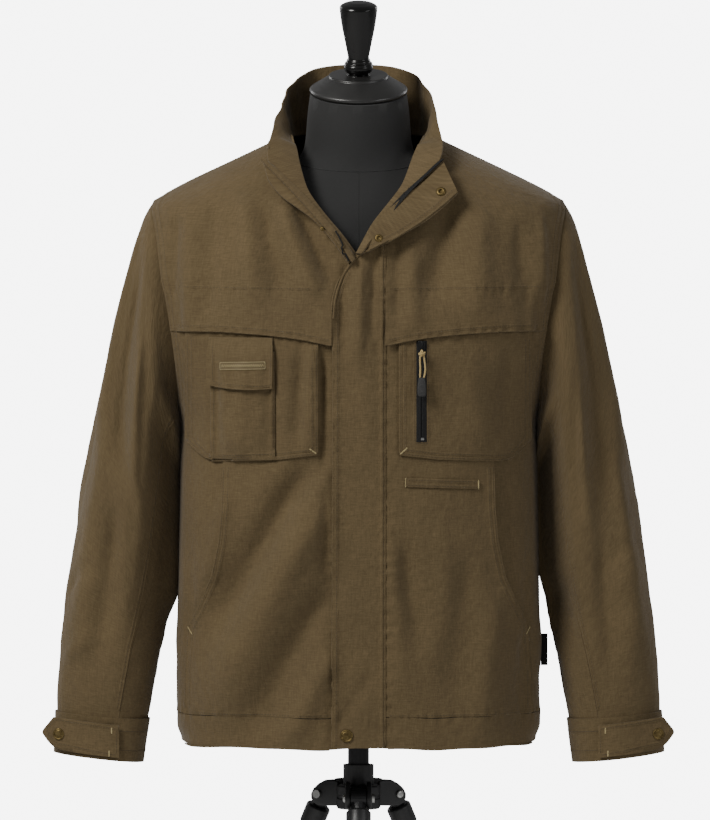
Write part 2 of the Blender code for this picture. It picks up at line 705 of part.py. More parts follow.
def cuff_point(side, turn, down):
    outer_x, outer_z, inner_x, inner_z, depth, back = (
        a + (b - a) * down for a, b in zip(CUFF_TOP, CUFF_BOTTOM)
    )
    c, s = math.cos(math.radians(turn)), math.sin(math.radians(turn))
    x = (outer_x + inner_x) / 2 + ((outer_x - inner_x) / 2 + CUFF_LIFT) * c
    z = (outer_z + inner_z) / 2 + (outer_z - inner_z) / 2 * c
    return np.array((side * x, back - (depth + CUFF_LIFT) * s, z - 0.0005))


def cuff(side, hand):
    turns = between(0.0, 360.0, 18)
    downs = (0.0, 0.5, 1.0)
    rows = [[cuff_point(side, t, d) for t in turns] for d in downs]
    around = [[cuff_point(side, t + 1, d) - cuff_point(side, t - 1, d) for t in turns] for d in downs]
    normals = unit_rows(np.cross(around, np.gradient(rows, axis=0)) * side)
    wall(f"cuff_{hand}", rows, normals, DOUBLE, cyclic=True, inset=0.0)


TAB_SEWN_X, TAB_LEAVES_X, TAB_TIP_X = 0.2800, 0.3250, 0.3680
TAB_HALF, TAB_TIP_HALF, TAB_LIFT = 0.0190, 0.0045, 0.0044
TAB_SNAP_X = 0.3508


def tab_centre(side, x):
    """The tab's middle line: it follows the cuff, then runs straight past its side."""
    middle, half, depth, back = 0.3021, 0.0569, CUFF_TOP[4] + CUFF_LIFT, -0.0145

    def on_cuff(at):
        return back - depth * math.sqrt(1 - ((at - middle) / half) ** 2)

    slope = (on_cuff(TAB_LEAVES_X) - on_cuff(TAB_LEAVES_X - 0.002)) / 0.002
    y = on_cuff(x) if x < TAB_LEAVES_X else on_cuff(TAB_LEAVES_X) + slope * (x - TAB_LEAVES_X)
    z = 0.7735 + (x - TAB_SEWN_X) * 0.12
    return np.array((side * x, y - TAB_LIFT, z))


def cuff_tab(side, hand):
    xs = (TAB_SEWN_X, 0.2950, 0.3100, TAB_LEAVES_X, 0.3420, 0.3570, TAB_TIP_X)
    rows = []
    for share in (-1.0, 0.0, 1.0):
        row = []
        for x in xs:
            half = TAB_HALF if x < TAB_TIP_X else TAB_TIP_HALF
            row.append(tab_centre(side, x) + np.array((0.0, 0.0, half * share)))
        rows.append(row)
    normals = ribbon_normals(rows)
    if normals[0, 0][1] > 0:
        normals = -normals
    wall(f"cuff_tab_{hand}", rows, normals, DOUBLE, inset=0.0)
    slope = unit(tab_centre(side, TAB_SNAP_X + 0.002) - tab_centre(side, TAB_SNAP_X - 0.002))
    out = unit(np.cross(slope, (0.0, 0.0, side)))
    if out[1] > 0:
        out = -out
    snap(f"cuff_snap_{hand}", tab_centre(side, TAB_SNAP_X), out, 0.0062)


# ---------------------------------------------------------------- pockets and trims
def laid_on(name, xs, bottom, top, lifts, side, thickness=0.0012, colour=CANVAS, levels=5, roughness=0.85):
    """A piece laid on the front: columns at xs, from bottom(x) to top(x), lifted by lifts(column, row)."""
    rows = []
    for i in range(levels + 1):
        share = i / levels
        row = []
        for column, x in enumerate(xs):
            z = bottom(x) + (top(x) - bottom(x)) * share
            row.append((angle_at(side * x, z), z, lifts(column / (len(xs) - 1), share)))
        rows.append(row)
    return panel(name, rows, thickness, colour, roughness)


def flat_edge(z):
    return lambda x: z


def chest_patches():
    def bottom(x):
        return float(np.interp(x, PATCH_EDGE_X, PATCH_EDGE_Z))

    for hand, side in (("right", -1), ("left", 1)):
        laid_on(f"chest_patch_{hand}", PATCH_X, bottom, flat_edge(PATCH_TOP_Z), lambda c, r: 0.0022, side)


def phone_pocket():
    xs = (0.0965, 0.0990, 0.1140, 0.1330, 0.1520, 0.1677, 0.1702)

    def bellows(column, share):
        edge = column < 0.1 or column > 0.9
        deep = min(share / 0.12, 1.0) * min((1 - share) / 0.15 + 0.55, 1.0)
        return 0.0038 if edge else 0.0038 + 0.0040 * deep

    laid_on("phone_pocket", xs, flat_edge(1.1060), flat_edge(1.2320), bellows, -1, levels=7)

    def hem(x):
        return float(np.interp(x, FLAP_EDGE_X, FLAP_EDGE_Z))

    def standing(column, share):
        return float(np.interp(share, (0.0, 0.60, 0.80, 1.0), (0.0102, 0.0100, 0.0075, 0.0037)))

    across = (0.0985, 0.1170, 0.1352, 0.1535, 0.1720)
    laid_on("phone_flap", across, hem, flat_edge(1.2480), standing, -1, levels=5)


def woven_ribbon():
    """Sewn on the phone pocket's flap."""
    low, high = flat_edge(1.2105), flat_edge(1.2200)
    laid_on("woven_ribbon", (0.1070, 0.1340, 0.1610), low, high, lambda c, r: 0.0118, -1, 0.0008, CORD, 1)


def chest_zip():
    across = (0.0668, SLIDER_X, 0.0790)
    low, high = flat_edge(1.1270), flat_edge(1.2440)
    laid_on("chest_zip_tape", across, low, high, lambda c, r: 0.0036, 1, 0.0010, BLACK, 4, 0.4)
    spot = angle_at(SLIDER_X, SLIDER_Z)
    at, out = torso(spot, SLIDER_Z), torso_normal(spot, SLIDER_Z)
    turn = Matrix.LocRotScale(Vector(at + 0.0042 * out), Vector(out).to_track_quat("Z", "Y"), None)

    def on_zip(name, half_width, half_length, depth, colour, drop=0.0, lift=0.0, metallic=1.0):
        bm = bmesh.new()
        bmesh.ops.create_cube(bm, size=1.0)
        for v in bm.verts:
            v.co = Vector((v.co.x * 2 * half_width, v.co.y * 2 * half_length, (v.co.z + 0.5) * depth))
        mesh = bpy.data.meshes.new(name)
        bm.to_mesh(mesh)
        bm.free()
        obj = new_object(name, mesh, colour, 0.4, metallic)
        obj.matrix_local = Matrix.Translation((0.0, 0.0, -drop)) @ turn @ Matrix.Translation((0.0, 0.0, lift))
        bevel = obj.modifiers.new("Round", "BEVEL")
        bevel.width = 0.0010
        bevel.segments = 1
        return obj

    on_zip("zip_slider", 0.0042, 0.0055, 0.0034, BLACK)
    on_zip("zip_end_stop", 0.0030, 0.0016, 0.0012, STEEL, drop=SLIDER_Z - 1.1304, lift=-0.0002)
    zip_pull(at[1] - 0.0098)


PULL_CORD_ROUTE = [
    (-0.0018, 0.0360),
    (-0.0022, 0.0250),
    (-0.0026, 0.0120),
    (-0.0012, 0.0060),
    (0.0012, 0.0060),
    (0.0026, 0.0120),
    (0.0022, 0.0250),
    (0.0018, 0.0360),
]
GRIP_TOP, GRIP_END = 0.0364, 0.0590  # below the slider


def zip_pull(y):
    """It hangs clear of the zip: a doubled cord from the slider's loop into a rubber grip."""
    pull = bpy.data.curves.new("pull_cord", "CURVE")
    pull.dimensions = "3D"
    pull.bevel_depth = 0.0013
    pull.bevel_resolution = 1
    pull.use_fill_caps = True
    line = pull.splines.new("POLY")
    line.points.add(len(PULL_CORD_ROUTE) - 1)
    for spot, (x, down) in zip(line.points, PULL_CORD_ROUTE):
        spot.co = (SLIDER_X + x, y, SLIDER_Z - down, 1.0)
    cord = new_object("pull_cord", pull, CORD, 0.8)
    cord.data.splines[0].use_smooth = True
    grip = bmesh.new()
    low = (SLIDER_X - 0.0055, y - 0.0030, SLIDER_Z - GRIP_END)
    box(grip, low, (SLIDER_X + 0.0055, y + 0.0030, SLIDER_Z - GRIP_TOP))
    mesh = bpy.data.meshes.new("pull_grip")
    grip.to_mesh(mesh)
    grip.free()
    held = new_object("pull_grip", mesh, BLACK, 0.6)
    bevel = held.modifiers.new("Round", "BEVEL")
    bevel.width = 0.0018
    bevel.segments = 2


def welt_and_label():
    across = (0.0545, 0.0830, 0.1110, 0.1393)

    def low(x):
        return 1.0754 - (x - across[0]) * 0.041

    laid_on("welt", across, low, lambda x: low(x) + 0.0097, lambda c, r: 0.0019, 1, levels=1)
    bm = bmesh.new()
    x = torso(math.pi / 2, 0.878)[0] + 0.0006
    box(bm, (x, -0.0006, 0.8589), (x + 0.0080, 0.0006, 0.8964))
    mesh = bpy.data.meshes.new("side_label")
    bm.to_mesh(mesh)
    bm.free()
    new_object("side_label", mesh, BLACK, 0.7)


def hem_snap():
    x, z, lift = -0.0138, 0.786, 0.0033
    spot = angle_at(x, z)
    out = torso_normal(spot, z)
    snap("hem_snap", torso(spot, z) + lift * out, out, 0.0074)


# ---------------------------------------------------------------- dress form
def form():
    rows = []
    for z, half, front, rear in FORM:
        row = []
        for angle in between(0.0, 2 * math.pi, 24):
            s, c = math.sin(angle), math.cos(angle)
            depth = front if c > 0 else rear
            roundness = ROUNDNESS if z < 1.44 else 2.0
            row.append((half * power(s, 2 / roundness), -depth * power(c, 2 / roundness), z))
        rows.append(row)
    bm, _ = mapped_grid(np.array(rows), True)
    bmesh.ops.holes_fill(bm, edges=bm.edges[:], sides=0)
    close_outward(bm)
    mesh = bpy.data.meshes.new("form_body")
    bm.to_mesh(mesh)
    bm.free()
    mesh.shade_smooth()
    new_object("form_body", mesh, JERSEY, 0.9)
    turned("neck_cap", CAP_PROFILE, BLACK, 0.3, steps=32)
    turned("finial", FINIAL_PROFILE, BLACK, 0.25)


# ---------------------------------------------------------------- stand
def column_and_clamp():
    column_profile = [(0.0, 0.7995), (COLUMN_RADIUS, 0.7995), (COLUMN_RADIUS, 0.4000), (0.0, 0.4000)]
    turned("column", column_profile, BLACK, 0.35, 0.6)
    hole = COLUMN_RADIUS + 0.0006

    def sleeve_of(top, bottom, radius):
        def add(bm):
            rod(bm, (0.0, 0.0, bottom), (0.0, 0.0, top), radius, 32)

        return add

    def knob(bm):
        rod(bm, (0.0, 0.010, 0.730), (0.0, 0.034, 0.730), 0.0065, 12)

    clamp = joined("clamp_ring", [sleeve_of(0.742, 0.7185, 0.018), knob], BLACK, 0.4, 0.3)
    hub_shapes = [sleeve_of(0.718, 0.690, 0.026)]
    for turn in LEG_TURNS:
        for offset in (-0.0125, 0.0125):
            hub_shapes.append(lug(turn, offset))
    hub = joined("tripod_hub", hub_shapes, BLACK, 0.45, 0.2)
    for obj, low, high in ((clamp, 0.70, 0.76), (hub, 0.67, 0.73)):
        bm = bmesh.new()
        rod(bm, (0.0, 0.0, low), (0.0, 0.0, high), hole, 32)
        mesh = bpy.data.meshes.new(obj.name + "_bore")
        bm.to_mesh(mesh)
        bm.free()
        bore = bpy.data.objects.new(mesh.name, mesh)
        cutters.objects.link(bore)
        bore.parent = stand_axis
        bore.hide_render = True
        bore.display_type = "WIRE"
        cut = obj.modifiers.new("Bore", "BOOLEAN")
        cut.operation = "DIFFERENCE"
        cut.solver = "EXACT"
        cut.object = bore


LEG_TURNS = {"front": 0.0, "left": math.radians(120), "right": math.radians(-120)}


def leg_frame(turn):
    """Outward and sideways directions of a leg; turn 0 points to the front."""
    outward = Vector((math.sin(turn), -math.cos(turn), 0.0))
    return outward, Vector((0.0, 0.0, 1.0)).cross(outward)


def lug(hand, offset):
    def add(bm):
        outward, sideways = leg_frame(LEG_TURNS[hand])
        box(bm, (0.016, -0.003, -0.011), (0.058, 0.003, 0.011))
        turn = Matrix((outward, sideways, (0.0, 0.0, 1.0))).transposed().to_4x4()
        bmesh.ops.transform(
            bm,
            matrix=Matrix.Translation(sideways * offset + Vector((0.0, 0.0, PIVOT_Z))) @ turn,
            verts=bm.verts[:],
        )

    return add


def leg(hand):
    outward, sideways = leg_frame(LEG_TURNS[hand])
    pivot = outward * PIVOT_RADIUS + Vector((0.0, 0.0, PIVOT_Z))
    down = (outward * math.sin(LEG_ANGLE) - Vector((0.0, 0.0, math.cos(LEG_ANGLE)))).normalized()
    length = (PIVOT_Z - FOOT_HEIGHT) / math.cos(LEG_ANGLE) + 0.004

    shapes = [
        lambda bm: rod(bm, pivot - sideways * 0.009, pivot + sideways * 0.009, 0.0105, 20),
        lambda bm: rod(bm, pivot, pivot + down * 0.030, 0.0085, 12),
        lambda bm: rod(bm, pivot + down * 0.0225, pivot + down * length * 0.52, 0.0135, 20),
        lambda bm: rod(bm, pivot + down * length * 0.50, pivot + down * (length - 0.012), 0.0105, 20),
    ]
    joined(f"leg_{hand}", shapes, BLACK, 0.4, 0.5)
    foot_profile = [
        (0.0, FOOT_HEIGHT),
        (0.0115, FOOT_HEIGHT),
        (FOOT_RADIUS, 0.012),
        (FOOT_RADIUS, 0.001),
        (FOOT_RADIUS - 0.001, 0.0),
        (0.0, 0.0),
    ]
    turned(f"foot_{hand}", foot_profile, BLACK, 0.8).location = outward * FOOT_REACH
    bolt = bmesh.new()
    for_side = sideways * 0.0158
    rod(bolt, pivot + for_side, pivot + for_side + sideways * 0.0030, 0.0050, 12)
    mesh = bpy.data.meshes.new(f"bolt_{hand}")
    bolt.to_mesh(mesh)
    bolt.free()
    new_object(f"bolt_{hand}", mesh, STEEL, 0.35, 1.0)


# ---------------------------------------------------------------- the whole
for old in list(bpy.data.objects):
    bpy.data.objects.remove(old, do_unlink=True)
parts = bpy.data.collections.new(COLLECTION)
cutters = bpy.data.collections.new("cutters")
for made in (parts, cutters):
    bpy.context.scene.collection.children.link(made)
stand_axis = bpy.data.objects.new("stand_axis", None)
stand_axis.location = (0.0, AXIS_Y, 0.0)
parts.objects.link(stand_axis)

back()
for hand, side in (("right", -1), ("left", 1)):
    front_main(f"front_main_{hand}", side)
    side_front(f"side_front_{hand}", side)
    front_yoke(f"front_yoke_{hand}", side)
    sleeves(side, hand)
    cuff(side, hand)
    cuff_tab(side, hand)
hem_band()
placket()
open_front()
chest_patches()
phone_pocket()
woven_ribbon()
chest_zip()
welt_and_label()
hem_snap()
form()
column_and_clamp()
for hand in LEG_TURNS:
    leg(hand)
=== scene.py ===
"""Looks of a canvas work jacket on a dress form and tripod stand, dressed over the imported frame."""

import math

import bpy
import numpy as np
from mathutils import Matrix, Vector
from mathutils.bvhtree import BVHTree


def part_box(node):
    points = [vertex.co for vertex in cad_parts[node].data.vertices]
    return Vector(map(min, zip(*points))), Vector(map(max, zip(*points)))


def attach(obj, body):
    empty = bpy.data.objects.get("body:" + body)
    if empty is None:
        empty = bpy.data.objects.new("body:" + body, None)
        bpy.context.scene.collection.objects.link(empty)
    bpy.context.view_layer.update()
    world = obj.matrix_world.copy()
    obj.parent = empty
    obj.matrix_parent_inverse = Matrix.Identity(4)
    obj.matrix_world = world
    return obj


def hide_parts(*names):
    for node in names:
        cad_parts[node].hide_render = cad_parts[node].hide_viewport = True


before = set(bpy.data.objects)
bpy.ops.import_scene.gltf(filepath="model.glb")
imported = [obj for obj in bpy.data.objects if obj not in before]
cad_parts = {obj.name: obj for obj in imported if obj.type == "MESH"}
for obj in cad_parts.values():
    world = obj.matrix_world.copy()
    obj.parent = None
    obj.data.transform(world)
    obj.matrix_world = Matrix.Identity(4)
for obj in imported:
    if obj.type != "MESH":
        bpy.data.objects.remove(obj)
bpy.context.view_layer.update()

# ---------------------------------------------------------------- camera, floor and light
# A long lens at the height of the collar, a pale floor, a large soft lamp on the jacket's right side and a
# weaker one on its left, as a studio lights clothes for a catalogue.
AXIS_Y = 0.0923  # the column's axis
AIM = Vector((-0.0041, AXIS_Y, 1.1595))
DISTANCE = 8.0
RISE = math.radians(2.0)
FRAME_HEIGHT = 0.9642  # what the frame shows at the column, from bottom to top

camera = bpy.data.cameras.new("camera")
camera.sensor_fit = "VERTICAL"
camera.sensor_height = 24.0
camera.lens = camera.sensor_height * DISTANCE / FRAME_HEIGHT
camera_object = bpy.data.objects.new("camera", camera)
bpy.context.scene.collection.objects.link(camera_object)
camera_object.location = AIM + Vector((0.0, -math.cos(RISE), math.sin(RISE))) * DISTANCE
camera_object.rotation_euler = (AIM - camera_object.location).to_track_quat("-Z", "Y").to_euler()
bpy.context.scene.camera = camera_object


def soft_lamp(name, place, aim, size, watts, colour):
    lamp = bpy.data.lights.new(name, "AREA")
    lamp.shape = "RECTANGLE"
    lamp.size, lamp.size_y = size
    lamp.energy = watts
    lamp.color = colour
    lamp_object = bpy.data.objects.new(name, lamp)
    bpy.context.scene.collection.objects.link(lamp_object)
    lamp_object.location = place
    lamp_object.rotation_euler = (Vector(aim) - Vector(place)).to_track_quat("-Z", "Y").to_euler()


soft_lamp("key", (-2.0, -1.9, 3.4), (0.0, 0.0, 1.50), (1.0, 1.4), 126, (1.0, 0.985, 0.95))
soft_lamp("fill", (3.0, -2.1, 2.3), (0.0, 0.0, 1.40), (1.5, 1.8), 31, (0.99, 0.99, 1.0))
soft_lamp("rim_right", (-1.9, 2.2, 2.3), (0.0, 0.1, 1.2), (0.8, 1.8), 16, (1.0, 1.0, 1.0))
soft_lamp("rim_left", (1.9, 2.3, 2.3), (0.0, 0.1, 1.2), (0.8, 1.8), 14, (1.0, 1.0, 1.0))

world = bpy.data.worlds.new("studio")
bpy.context.scene.world = world
world.use_nodes = True
sky = world.node_tree
sky.nodes.clear()
sky_out = sky.nodes.new("ShaderNodeOutputWorld")
sky_mix = sky.nodes.new("ShaderNodeMixShader")
sky_rays = sky.nodes.new("ShaderNodeLightPath")
sky.links.new(sky_rays.outputs["Is Camera Ray"], sky_mix.inputs[0])
for socket, grey, strength in ((1, 0.93, 0.25), (2, 0.99, 6.9)):
    shade = sky.nodes.new("ShaderNodeBackground")
    shade.inputs["Color"].default_value = (grey, grey, grey, 1.0)
    shade.inputs["Strength"].default_value = strength
    sky.links.new(shade.outputs[0], sky_mix.inputs[socket])
sky.links.new(sky_mix.outputs[0], sky_out.inputs[0])


class Finish:
    """A material under construction: short calls for the nodes that the finishes here are made of."""

    def __init__(self, name, roughness, metallic=0.0, **sockets):
        self.material = bpy.data.materials.new(name)
        self.material.use_nodes = True
        self.tree = self.material.node_tree
        self.shader = self.tree.nodes["Principled BSDF"]
        self.shader.inputs["Roughness"].default_value = roughness
        self.shader.inputs["Metallic"].default_value = metallic
        for socket, value in sockets.items():
            self.shader.inputs[socket.replace("_", " ")].default_value = value

    def add(self, kind, inputs=(), **settings):
        node = self.tree.nodes.new("ShaderNode" + kind)
        for key, value in settings.items():
            setattr(node, key, value)
        for key, value in dict(inputs).items():
            if isinstance(value, bpy.types.NodeSocket):
                self.tree.links.new(value, node.inputs[key])
            else:
                node.inputs[key].default_value = value
        return node

    def place(self, scale=(1.0, 1.0, 1.0), uv=None, turn=(0.0, 0.0, 0.0)):
        """Object coordinates, or those of a UV map, stretched."""
        if uv:
            source = self.add("UVMap", uv_map=uv).outputs[0]
        else:
            source = self.add("TexCoord").outputs["Object"]
        mapping = self.add("Mapping", {"Vector": source, "Scale": scale, "Rotation": turn})
        return mapping.outputs[0]

    def noise(self, at, scale, detail=2.0, roughness=0.5):
        inputs = {"Vector": at, "Scale": scale, "Detail": detail, "Roughness": roughness}
        return self.add("TexNoise", inputs).outputs["Fac"]

    def wave(self, at, scale, direction, distortion=0.0, detail_scale=1.0):
        inputs = {"Vector": at, "Scale": scale, "Distortion": distortion, "Detail Scale": detail_scale}
        return self.add("TexWave", inputs, bands_direction=direction).outputs["Fac"]

    def maths(self, operation, a, b=0.0):
        return self.add("Math", {0: a, 1: b}, operation=operation).outputs[0]

    def ramp(self, value, *stops):
        """A colour ramp of (position, colour or grey) stops."""
        node = self.add("ValToRGB", {"Fac": value})
        elements = node.color_ramp.elements
        for index, (position, colour) in enumerate(stops):
            element = elements[index] if index < 2 else elements.new(position)
            element.position = position
            element.color = (*colour, 1.0) if isinstance(colour, tuple) else (colour, colour, colour, 1.0)
        return node.outputs[0]

    def mix(self, a, b, factor, blend="MIX"):
        node = self.add("Mix", data_type="RGBA", blend_type=blend)
        for socket, value in zip((node.inputs[0], node.inputs[6], node.inputs[7]), (factor, a, b)):
            if isinstance(value, bpy.types.NodeSocket):
                self.tree.links.new(value, socket)
            else:
                socket.default_value = (*value, 1.0) if isinstance(value, tuple) else value
        return node.outputs[2]

    def bump(self, height, strength, distance, under=None):
        inputs = {"Height": height, "Strength": strength, "Distance": distance}
        if under:
            inputs["Normal"] = under
        return self.add("Bump", inputs).outputs[0]

    def finish(self, colour=None, roughness=None, normal=None):
        for value, socket in ((colour, "Base Color"), (roughness, "Roughness"), (normal, "Normal")):
            if isinstance(value, bpy.types.NodeSocket):
                self.tree.links.new(value, self.shader.inputs[socket])
            elif value is not None:
                self.shader.inputs[socket].default_value = (*value, 1.0)
        return self.material


floor_finish = Finish("floor_paper", 0.9)
grain = floor_finish.noise(floor_finish.place(), 60.0, 4.0)
floor_paper = floor_finish.finish(floor_finish.ramp(grain, (0.3, 0.80), (0.7, 0.84)))
bpy.ops.object.select_all(action="DESELECT")
bpy.ops.mesh.primitive_plane_add(size=7.0, location=(0.0, 0.0, 0.0))
floor = bpy.context.object
floor.name = "floor"
floor.data.materials.append(floor_paper)


# ---------------------------------------------------------------- tripod, column and clamp
# Three black tubular legs on a cast hub, the black column that carries the form, and the clamp ring that
# holds the column at its height. Powder coated metal and moulded plastic, with zinc plated screws.
def speckled(name, dark, light, roughness, metallic, grain_size, depth, **sockets):
    """A cast or coated finish: fine grain in its colour, gloss and relief."""
    coat = Finish(name, roughness, metallic, **sockets)
    at = coat.place()
    fine = coat.noise(at, grain_size, 3.0, 0.6)
    broad = coat.noise(at, 22.0, 3.0)
    colour = coat.mix(
        coat.ramp(fine, (0.35, dark), (0.7, light)), coat.ramp(broad, (0.3, 0.75), (0.75, 1.0)), 0.6,
        "MULTIPLY"
    )
    gloss = coat.ramp(broad, (0.3, roughness - 0.06), (0.7, roughness + 0.10))
    return coat.finish(colour, gloss, coat.bump(fine, 0.5, depth))


black_metal = speckled("black_metal", (0.010, 0.010, 0.011), (0.022, 0.022, 0.023), 0.34, 0.3, 900.0, 0.00012)
black_plastic = speckled(
    "black_plastic", (0.012, 0.012, 0.012), (0.026, 0.026, 0.027), 0.42, 0.0, 1400.0, 0.0002
)
foot_rubber = speckled("foot_rubber", (0.016, 0.016, 0.016), (0.035, 0.034, 0.033), 0.74, 0.0, 700.0, 0.0003)
steel = speckled("zinc_steel", (0.42, 0.42, 0.41), (0.60, 0.60, 0.58), 0.30, 1.0, 500.0, 0.00008)
for node, finish in (
    [("column", black_metal), ("clamp_ring", black_plastic)]
    + [(f"leg_{hand}", black_metal) for hand in ("front", "left", "right")]
    + [(f"foot_{hand}", foot_rubber) for hand in ("front", "left", "right")]
    + [(f"bolt_{hand}", steel) for hand in ("front", "left", "right")]
):
    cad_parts[node].material_slots[0].material = finish

# ---------------------------------------------------------------- form, neck cap and finial
# A limbless foam form under black jersey, with a sewn seam down the middle of the chest and another round the
# root of the neck. A turned cap closes the neck, and a turned finial stands on it, both in black lacquer; the
# cap's satin lacquer is given a lighter base colour than the finial's, as a painted highlight.
jersey_finish = Finish("black_jersey", 0.82, Sheen_Weight=0.12, Sheen_Roughness=0.5)
knit_at = jersey_finish.place()
knit_rows = jersey_finish.wave(knit_at, 420.0, "Z", 0.8, 2.0)
knit_stitches = jersey_finish.wave(knit_at, 380.0, "X", 0.8, 2.0)
knit = jersey_finish.maths("MULTIPLY", knit_rows, knit_stitches)
lint = jersey_finish.noise(knit_at, 260.0, 3.0, 0.7)
pressed = jersey_finish.noise(knit_at, 9.0, 2.0)
jersey_colour = jersey_finish.mix(
    jersey_finish.ramp(pressed, (0.3, (0.0058, 0.0058, 0.0058)), (0.7, (0.0092, 0.0092, 0.0091))),
    jersey_finish.ramp(lint, (0.35, 0.75), (0.8, 1.25)),
    0.5,
    "MULTIPLY",
)
jersey = jersey_finish.finish(jersey_colour, None, jersey_finish.bump(knit, 0.6, 0.0002))


def select_only(piece):
    """One piece selected and active, and nothing else."""
    bpy.ops.object.select_all(action="DESELECT")
    piece.select_set(True)
    bpy.context.view_layer.objects.active = piece


def rounder(piece, levels):
    """Subdivide a piece smoothly, with its marked creases kept."""
    select_only(piece)
    modifier = piece.modifiers.new("Round", "SUBSURF")
    modifier.levels = modifier.render_levels = levels
    bpy.ops.object.modifier_apply(modifier=modifier.name)


def copy_of(node, name, levels, crease_angle=50.0, crease=1.0, quads=0.7):
    """A finer copy of a CAD node: merged, made of quads, sharp edges creased, then subdivided."""
    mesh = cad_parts[node].data.copy()
    mesh.name = name
    mesh.materials.clear()
    piece = bpy.data.objects.new(name, mesh)
    bpy.context.scene.collection.objects.link(piece)
    select_only(piece)
    bpy.ops.object.mode_set(mode="EDIT")
    bpy.ops.mesh.select_mode(type="EDGE")
    bpy.ops.mesh.select_all(action="SELECT")
    bpy.ops.mesh.remove_doubles(threshold=0.000002)
    bpy.ops.mesh.tris_convert_to_quads(face_threshold=quads, shape_threshold=1.2)
    bpy.ops.mesh.select_all(action="DESELECT")
    bpy.ops.mesh.edges_select_sharp(sharpness=math.radians(crease_angle))
    bpy.ops.transform.edge_crease(value=crease)
    bpy.ops.object.mode_set(mode="OBJECT")
    rounder(piece, levels)
    bpy.ops.object.shade_smooth_by_angle(angle=math.radians(40.0))
    return piece


def points_of(piece):
    flat = np.empty(3 * len(piece.data.vertices))
    piece.data.vertices.foreach_get("co", flat)
    return flat.reshape(-1, 3)


def move_points(piece, points):
    piece.data.vertices.foreach_set("co", points.ravel())
    piece.data.update()


def dress(piece, material, body, slot, *nodes):
    """Give a finished piece its material and its body, and hide the CAD nodes that it stands for. The slot is
    not used.
    """
    piece.data.materials.clear()
    piece.data.materials.append(material)
    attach(piece, body)
    if nodes:
        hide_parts(*nodes)
    return piece


form_body = copy_of("form_body", "form", 2)
NECK_TILT = math.radians(15.0)  # the neck is cut on a slant, and its cap and finial lean forward with it
NECK_TOP = Vector((0.0, AXIS_Y, 1.5320))
form_points = points_of(form_body)
neck_share = np.clip((form_points[:, 2] - 1.474) / (1.517 - 1.474), 0.0, 1.0)
neck_forward = form_points[:, 1] - AXIS_Y
form_points[:, 2] += neck_share**2 * (NECK_TOP.z - 1.517 + math.tan(NECK_TILT) * neck_forward)
form_points[:, 0] *= 1 - 0.06 * neck_share**3
form_points[:, 1] = AXIS_Y + neck_forward * (1 - 0.04 * neck_share**3)
move_points(form_body, form_points)
dress(form_body, jersey, "form_and_jacket", "jersey", "form_body")


def shell_tree(*pieces):
    """A tree of the faces of some pieces, to lay other things on them."""
    vertices, faces = [], []
    for piece in pieces:
        first = len(vertices)
        vertices += [v.co.copy() for v in piece.data.vertices]
        faces += [[first + i for i in f.vertices] for f in piece.data.polygons]
    return BVHTree.FromPolygons(vertices, faces)


# The way things are laid on the fronts: a ray from in front of the jacket, straight back on to the cloth.
ONTO_FRONT = (0.0, 1.0, 0.0)


def laid(tree, points, direction, proud, back=0.6):
    """Points moved along a direction on to the faces of a tree, and stood proud of them."""
    direction = Vector(direction).normalized()
    placed = []
    for point in points:
        hit, normal, _, _ = tree.ray_cast(Vector(point) - direction * back, direction)
        if hit is not None:
            if normal.dot(direction) > 0:
                normal = -normal
            placed.append((hit + normal * proud, normal))
    return placed


def bead(name, path, radius, sides=3):
    """A fine round line along a path, as a mesh."""
    curve = bpy.data.curves.new(name, "CURVE")
    curve.dimensions = "3D"
    curve.bevel_depth = radius
    curve.bevel_resolution = sides - 2
    curve.use_fill_caps = True
    spline = curve.splines.new("POLY")
    spline.points.add(len(path) - 1)
    for point, at in zip(spline.points, path):
        point.co = (*at, 1.0)
    piece = bpy.data.objects.new(name, curve)
    bpy.context.scene.collection.objects.link(piece)
    select_only(piece)
    bpy.ops.object.convert(target="MESH")
    return bpy.context.object


def joined_as(name, pieces):
    """Pieces joined into one under one name."""
    select_only(pieces[0])
    for piece in pieces:
        piece.select_set(True)
    bpy.ops.object.join()
    joined = bpy.context.object
    joined.name = joined.data.name = name
    return joined


form_tree = shell_tree(form_body)
chest_seam = [(0.0, 0.0, z) for z in np.linspace(1.20, 1.438, 40)]
neck_seam = [
    (0.074 * math.sin(t), 0.0, 1.4395 + 0.012 * (1 - math.cos(t * 1.1))) for t in np.linspace(-1.35, 1.35, 50)
]
seam_beads = []
for name, path in (("chest_seam", chest_seam), ("neck_seam", neck_seam)):
    seam_beads.append(bead(name, [at for at, _ in laid(form_tree, path, ONTO_FRONT, 0.0001)], 0.00045))
dress(joined_as("form_seams", seam_beads), jersey, "form_and_jacket", "jersey")


def lacquered(name, base, roughness, specular):
    """Black lacquer over turned wood: faint turning marks, and a gloss a little uneven from handling."""
    coat = Finish(name, roughness, Coat_Weight=0.15, Coat_Roughness=0.12, Specular_IOR_Level=specular)
    at = coat.place()
    handled = coat.noise(at, 30.0, 3.0, 0.5)
    colour = coat.ramp(handled, (0.3, tuple(c * 0.75 for c in base)), (0.75, base))
    gloss = coat.ramp(handled, (0.3, roughness - 0.04), (0.75, roughness + 0.06))
    return coat.finish(colour, gloss, coat.bump(coat.wave(at, 140.0, "Z", 0.6, 2.0), 0.10, 0.00004))


gloss_lacquer = lacquered("black_lacquer", (0.0038, 0.0036, 0.0033), 0.22, 0.30)
# The cap's satin lacquer is rougher than the finial's gloss, and its base colour is lighter: a painted
# highlight.
satin_lacquer_painted_highlight = lacquered("satin_lacquer_painted_highlight", (0.0150, 0.0146, 0.0138), 0.40, 0.60)


